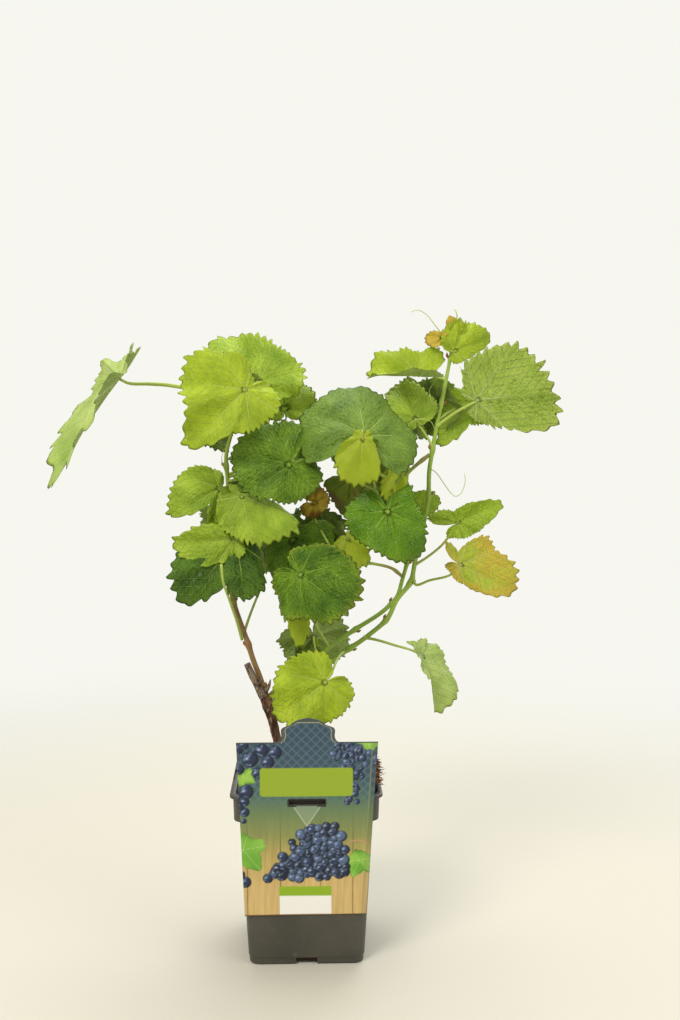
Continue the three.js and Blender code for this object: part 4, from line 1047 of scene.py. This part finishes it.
def paint(x, z):
    """Linear colours for the face of the card: the printed slate damask over planks, grapes, leaves, a plain
    banner and a plain panel, and painted shade round the slot."""
    rgb = np.zeros((len(x), 3))

    def lay(mask, colour):
        ink_and_shade = np.array(linear(colour)[:3]) if isinstance(colour, str) else colour
        rgb[:] = rgb * (1 - mask[:, None]) + ink_and_shade * mask[:, None]

    stops = [52, 80, 112, 135, 160, 178, 200, 260]
    tones = ["#caac70", "#caac70", "#b59f5c", "#868a4e", "#667b51", "#4a685e", "#3a525f", "#324958"]
    table = np.array([linear(t)[:3] for t in tones])
    ground = np.stack([np.interp(z, stops, table[:, i]) for i in range(3)], 1)
    rgb[:] = ground
    p = np.stack([x, z * 0.06, np.zeros_like(x)], -1)
    grain = ripple(p, 2.3, 4) * 0.5 + ripple(p, 6.5, 6) * 0.5
    board = np.clip((168 - z) / 40, 0, 1)
    rgb *= 1 + (0.13 * grain * board)[:, None]
    for joint in (-58, -25.5, 13.5, 45.5):
        lay(soft(np.abs(x - joint) - 0.45) * board * 0.75, "#4d3a20")
    u, w = (x + z) / 9.2, (x - z) / 9.2
    lattice = np.minimum(np.abs(u - np.round(u)), np.abs(w - np.round(w)))
    rosette = np.hypot(u - np.floor(u) - 0.5, w - np.floor(w) - 0.5)
    damask = np.clip((z - 166) / 16, 0, 1)
    lay(soft(lattice - 0.07, 0.06) * damask * 0.38, "#6c8193")
    lay(soft(np.abs(rosette - 0.22) - 0.06, 0.06) * damask * 0.36, "#1d2c3c")

    def leaf(cx, cz, size, heading, tone="#5f9a2c", glow="#9cc653"):
        dx, dz = x - cx, z - cz
        r = np.hypot(dx, dz) + 1e-6
        a = np.arctan2(dx, -dz) - math.radians(heading)
        a = (a + np.pi) % (2 * np.pi) - np.pi
        edge = size * (0.64 + 0.16 * np.cos(5 * a) * np.cos(a / 2) + 0.14 * np.cos(a)
                       + 0.09 * np.abs((a * 4.1) % 2 - 1))
        inside = soft(r - edge)
        lay(inside, "#4a7d24")
        lay(soft(r - edge + 1.6, 1.8), tone)
        vein = np.minimum.reduce([np.abs(r * np.sin(a - math.radians(k))) + 9 * (np.cos(a - math.radians(k)) < 0)
                                  for k in (0, 62, -62, 125, -125)])
        light = np.clip(0.5 + 0.5 * ripple(np.stack([x, z, np.zeros_like(x)], -1), size * 0.9, int(size)), 0, 1)
        lay(inside * light * 0.55, glow)
        lay(inside * soft(vein - 0.22, 0.35) * 0.6, "#c3dc8a")

    bloom = np.clip(0.55 + 0.6 * ripple(np.stack([x, z, np.zeros_like(x)], -1), 4.2, 7), 0, 1)

    def grape(cx, cz, r, tone="#223150"):
        d = np.hypot(x - cx, z - cz) / r
        inside = soft((d - 1) * r, 0.45)
        lay(inside, "#0c111d")
        lay(soft((np.hypot(x - cx + 0.10 * r, z - cz - 0.12 * r) - 0.80 * r), 0.45 * r) * 0.85, tone)
        lay(inside * soft(np.abs(d - 0.74) - 0.12, 0.2) * bloom * (x < cx + 0.2 * r) * 0.6, "#7f95bb")
        lay(soft((np.hypot(x - cx + 0.25 * r, z - cz - 0.30 * r) - 0.25 * r), 0.5 * r) * bloom * 0.8, "#8399c4")
        lay(soft((np.hypot(x - cx + 0.42 * r, z - cz - 0.10 * r) - 0.12 * r), 0.2 * r) * 0.8, "#cfdcee")

    leaf(-61, 198, 13, 60, "#6fa52c", "#a6cc55")
    leaf(-62, 122, 27, 38, "#5c9a2a", "#a3cf58")
    leaf(62, 236, 17, -10, "#6ca32f", "#b0d268")
    leaf(52, 110, 19, -22, "#62a02b", "#a8d05a")
    rng = np.random.default_rng(5)
    for i in range(46):
        share = rng.uniform(0, 1)
        grape(27 + 30 * share + rng.normal(0, 6) * (0.4 + share), 222 - 26 * (1 - share) * rng.uniform(-0.6, 1.0)
              - 12 * share * rng.uniform(-1, 1.2), rng.uniform(2.3, 4.0),
              ["#2c3d60", "#1b2740", "#4a5f80"][i % 3])
    for i in range(26):
        share = rng.uniform(0, 1)
        grape(52 - 12 * share + rng.normal(0, 4), 205 - 36 * share + rng.normal(0, 2), rng.uniform(2.2, 3.6),
              ["#223150", "#293a5c"][i % 2])
    for spot in ((-54, 215, 8), (-43, 224, 6.8), (-66, 226, 6), (-30, 222, 6.6), (-37, 212, 6.4),
                 (-47, 201, 5.8),
                 (-60, 230, 5), (-65, 205, 5.5), (-58, 182, 7.2), (-66, 176, 5.5), (-60, 172, 5), (-60, 161, 5),
                 (-65, 166, 4.5), (-61, 152, 3), (-60, 88, 6), (-64, 96, 4)):
        grape(*spot)
    for height, left, right in ((99, -30, 38), (108, -18, 38), (117, -8, 38), (127, 0, 36), (137, 4, 30)):
        for cx in np.arange(left, right, 6.0):
            grape(cx, height, 5.6, "#131c30")
    rows = [(94 + 5.6 * k, -38 + 4.4 * k * (k > 0),
             41 - 1.6 * abs(k - 3) - 2.0 * max(0, k - 6)) for k in range(10)]
    for k, (height, left, right) in enumerate(rows):
        for cx in np.arange(left, right, 7.6):
            grape(cx + rng.uniform(-3, 3) + 3 * (k % 2), height + rng.uniform(-2.6, 2.6), rng.uniform(3.6, 6.2),
                  ["#223150", "#182238", "#2a3b5e", "#44587a", "#56698a"][int(rng.integers(5))])
    stalk = np.abs(z - 128 - 3 * np.sin((x - 40) / 6)) - 0.7
    lay(soft(stalk) * soft(np.abs(x - 50) - 10, 1.0), "#b98a6a")

    def box(x0, x1, z0, z1, corner):
        dx = np.abs(x - (x0 + x1) / 2) - (x1 - x0) / 2 + corner
        dz = np.abs(z - (z0 + z1) / 2) - (z1 - z0) / 2 + corner
        return np.hypot(np.maximum(dx, 0), np.maximum(dz, 0)) + np.minimum(np.maximum(dx, dz), 0) - corner

    lay(soft(box(-45, 45, 177, 206, 3)), "#8fa526")
    lay(soft(box(-27, 24.5, 60, 83, 1.5)), "#8aab1e")
    lay(soft(box(-26.5, 24.5, 53.5, 73, 0.2)), "#ece9e4")
    slope = (168 - z) / 22 * 14
    vee = soft(np.abs(np.abs(x - 0.5) - 14 + slope) - 0.3, 0.5) * (z < 168.5) * (z > 145.5)
    inner = soft(np.abs(x - 0.5) - 14 + slope, 0.6) * (z < 168.5) * (z > 145.5)
    lay(inner * 0.22, "#b8c3b0")
    lay(vee * 0.85, "#d3d6c0")
    # painted shade: a dark patch round the slot cut in the card, and a strip below it, for the shade in and under
    # the slot
    lay(soft(box(-18.5, 19.5, 167.2, 174.4, 1.2)), "#26231f")
    lay(soft(box(-18, 19, 166.0, 169.0, 0.6)) * soft(10 - np.abs(x - 0.5), 1), "#26231f")
    edge = 62 + (z - 193) * 0.055
    lay(soft(edge + 0.4 - x) * 0.16, "#2c3640")
    lay(soft(np.abs(x - edge) - 0.4) * (z < 232) * 0.8, "#8f8a58")
    lay(soft(z - 53.3), "#7c5530")
    top = np.interp(z - CARD["high"], TAB_HEIGHTS, TAB_HALF) - np.abs(x - CARD["centre"] - 1)
    rim = np.minimum(top, (CARD["high"] + 23.6 - z))
    tab = (z > CARD["high"] - 1.5).astype(float)
    lay(soft(rim - 3.4, 0.6) * tab, "#3c4649")
    lay(soft(np.abs(rim - 3.7) - 0.35, 0.5) * tab, "#b0a878")
    lay(soft(np.abs(rim - 1.9) - 0.2, 0.4) * tab * 0.6, "#7c8274")
    return rgb


def card():
    """A leaning flat sheet on one fine grid, with the ogee tab as a second grid that shares part of its top
    row."""
    c = CARD
    nx, nz = int(2 * c["high_half"] / CELL), int((c["high"] - c["low"]) / CELL)
    s, t = np.linspace(-1, 1, nx + 1), np.linspace(0, 1, nz + 1)
    half = c["low_half"] + (c["high_half"] - c["low_half"]) * t
    middle = -1 + (c["centre"] + 1) * t
    x = middle[:, None] + half[:, None] * s
    z = c["low"] + (c["high"] - c["low"]) * t[:, None] + 0.6 * s * (1 - t[:, None])
    first = int(np.argmin(np.abs(x[-1] - (c["centre"] + 1 - TAB_HALF[0]))))
    last = int(np.argmin(np.abs(x[-1] - (c["centre"] + 1 + TAB_HALF[0]))))
    rows = np.linspace(0, TAB_HEIGHTS[-1], 33)[1:]
    width = np.interp(rows, TAB_HEIGHTS, TAB_HALF) / TAB_HALF[0]
    base = x[-1, first:last + 1]
    tab_middle = (base[0] + base[-1]) / 2
    tab_x = tab_middle + (base - tab_middle)[None, :] * width[:, None]
    tab_z = c["high"] + rows[:, None] + np.zeros_like(tab_x)
    xs = np.concatenate([x.ravel(), tab_x.ravel()])
    zs = np.concatenate([z.ravel(), tab_z.ravel()])
    quads = grid_quads(nz + 1, nx + 1, closed=False)
    start = (nz + 1) * (nx + 1)
    k = last - first + 1
    tab_quads = grid_quads(len(rows), k, closed=False, start=start)
    seam = nz * (nx + 1) + first + np.arange(k - 1)
    seam_quads = np.stack([seam, seam + 1, start + 1 + np.arange(k - 1), start + np.arange(k - 1)], -1)
    cells = np.concatenate([quads, seam_quads, tab_quads])
    centre_x, centre_z = xs[cells].mean(1), zs[cells].mean(1)
    hole = (np.abs(centre_x - 0.5) < 17.5) & (np.abs(centre_z - 170.9) < 2.6)
    cells = cells[~hole]
    bow = 0.5 * (1 - ((xs - 0.5) / 66) ** 2) * np.sin(np.clip((zs - 60) / 170, 0, 1) * np.pi)
    y = c["front"] - c["lean"] * (zs - c["low"]) - bow
    front = np.stack([xs, y, zs], -1)
    back = front + [0, c["thick"], 0]
    edges = np.concatenate([cells[:, [0, 1]], cells[:, [1, 2]], cells[:, [2, 3]], cells[:, [3, 0]]])
    ids = edges.min(1).astype(np.int64) * len(xs) + edges.max(1)
    _, where, many = np.unique(ids, return_index=True, return_counts=True)
    rim = edges[where[many == 1]]
    n = len(xs)
    walls = np.stack([rim[:, 1], rim[:, 0], rim[:, 0] + n, rim[:, 1] + n], -1)
    part = {"v": np.concatenate([front, back]), "f": [cells, cells[:, ::-1] + n, walls]}
    used = np.unique(np.concatenate([f.ravel() for f in part["f"]]))
    remap = np.zeros(2 * n, int)
    remap[used] = np.arange(len(used))
    part = {"v": part["v"][used], "f": [remap[f] for f in part["f"]]}
    white = np.tile(np.array(linear("#d9d7cf")[:3]), (n, 1))
    colours = np.concatenate([paint(xs, zs), white])[used]
    write_piece("printed_card", outward(part), [card_material()], ("label_card",),
                colours=colours)


card()


# ---------------------------------------------------------------- floor, light and camera

def stage():
    """A pale disc that fades out into the pale surroundings, so that no horizon shows."""
    turn = np.linspace(0, 2 * np.pi, 97)[:-1]
    radii = np.array([50, 400, 1200, 2600, 4000])
    rings = np.stack([np.stack([r * np.cos(turn), r * np.sin(turn), np.full(96, -0.6)], -1) for r in radii])
    verts = np.concatenate([rings.reshape(-1, 3), [[0, 0, -0.6]]])
    mesh = bpy.data.meshes.new("floor")
    quads = [tuple(q) for q in grid_quads(len(radii), 96)]
    mesh.from_pydata((verts * MM).tolist(), [], quads + [tuple(f) for f in fan(np.arange(96), len(verts) - 1)])
    floor = bpy.data.objects.new("floor", mesh)
    bpy.context.scene.collection.objects.link(floor)
    material, tree = new_material("matt_paper_sweep")
    place = add_node(tree, "ShaderNodeTexCoord", out=3)
    flat = add_node(tree, "ShaderNodeVectorMath", {0: place}, out=1, operation="LENGTH")
    gone = ramp_between(tree, flat, 0.35, 1.5)
    paper = add_node(tree, "ShaderNodeBsdfPrincipled", {"Base Color": linear("#cdc9bb"), "Roughness": 0.75,
                                                       "Specular IOR Level": 0.25})
    clear = add_node(tree, "ShaderNodeBsdfTransparent")
    finish_material(tree, add_node(tree, "ShaderNodeMixShader", {0: gone, 1: paper, 2: clear}))
    mesh.materials.append(material)


stage()


def area_light(name, place, aim, size, power, colour="#ffffff"):
    data = bpy.data.lights.new(name, "AREA")
    data.shape, data.size, data.energy, data.color = "SQUARE", size, power, linear(colour)[:3]
    lamp = bpy.data.objects.new(name, data)
    bpy.context.scene.collection.objects.link(lamp)
    way = np.array(aim, float) - np.array(place, float)
    yaw = math.atan2(way[1], way[0]) - math.pi / 2
    pitch = math.atan2(way[2], math.hypot(way[0], way[1]))
    lamp.location = place
    lamp.rotation_euler = (math.pi / 2 + pitch, 0, yaw)


area_light("key_softbox", (-1.1, -1.7, 1.9), (0, 0, 0.35), 0.9, 40, "#fffaf0")
area_light("fill_softbox", (1.7, -1.2, 1.2), (0, 0, 0.35), 1.4, 12)
area_light("rear_softbox", (0.7, 1.9, 1.3), (0, 0, 0.45), 1.5, 16)
area_light("top_softbox", (0.1, 0.5, 2.3), (0, 0, 0.3), 1.2, 24)
bpy.context.scene.view_settings.view_transform = "Standard"
world = bpy.data.worlds.new("pale_surroundings")
bpy.context.scene.world = world
world.use_nodes = True
SKY_SEEN, SKY_LIGHT = 0.97, 0.62    # the surroundings show white, and light the vine a little less
sky = world.node_tree
seen = add_node(sky, "ShaderNodeLightPath")
strength = ramp_between(sky, seen, 0.0, 1.0, SKY_LIGHT, SKY_SEEN, "LINEAR")
sky.nodes["Background"].inputs["Color"].default_value = linear("#fafaf3")
sky.links.new(strength, sky.nodes["Background"].inputs["Strength"])

camera_data = bpy.data.cameras.new("camera")
camera_data.lens = 40.76
camera_data.sensor_width = 36
camera = bpy.data.objects.new("camera", camera_data)
camera.location = (0, -1.175, 0.531)
camera.rotation_euler = (math.radians(90 - 3.96), 0, math.radians(-1.7))
bpy.context.scene.collection.objects.link(camera)
bpy.context.scene.camera = camera
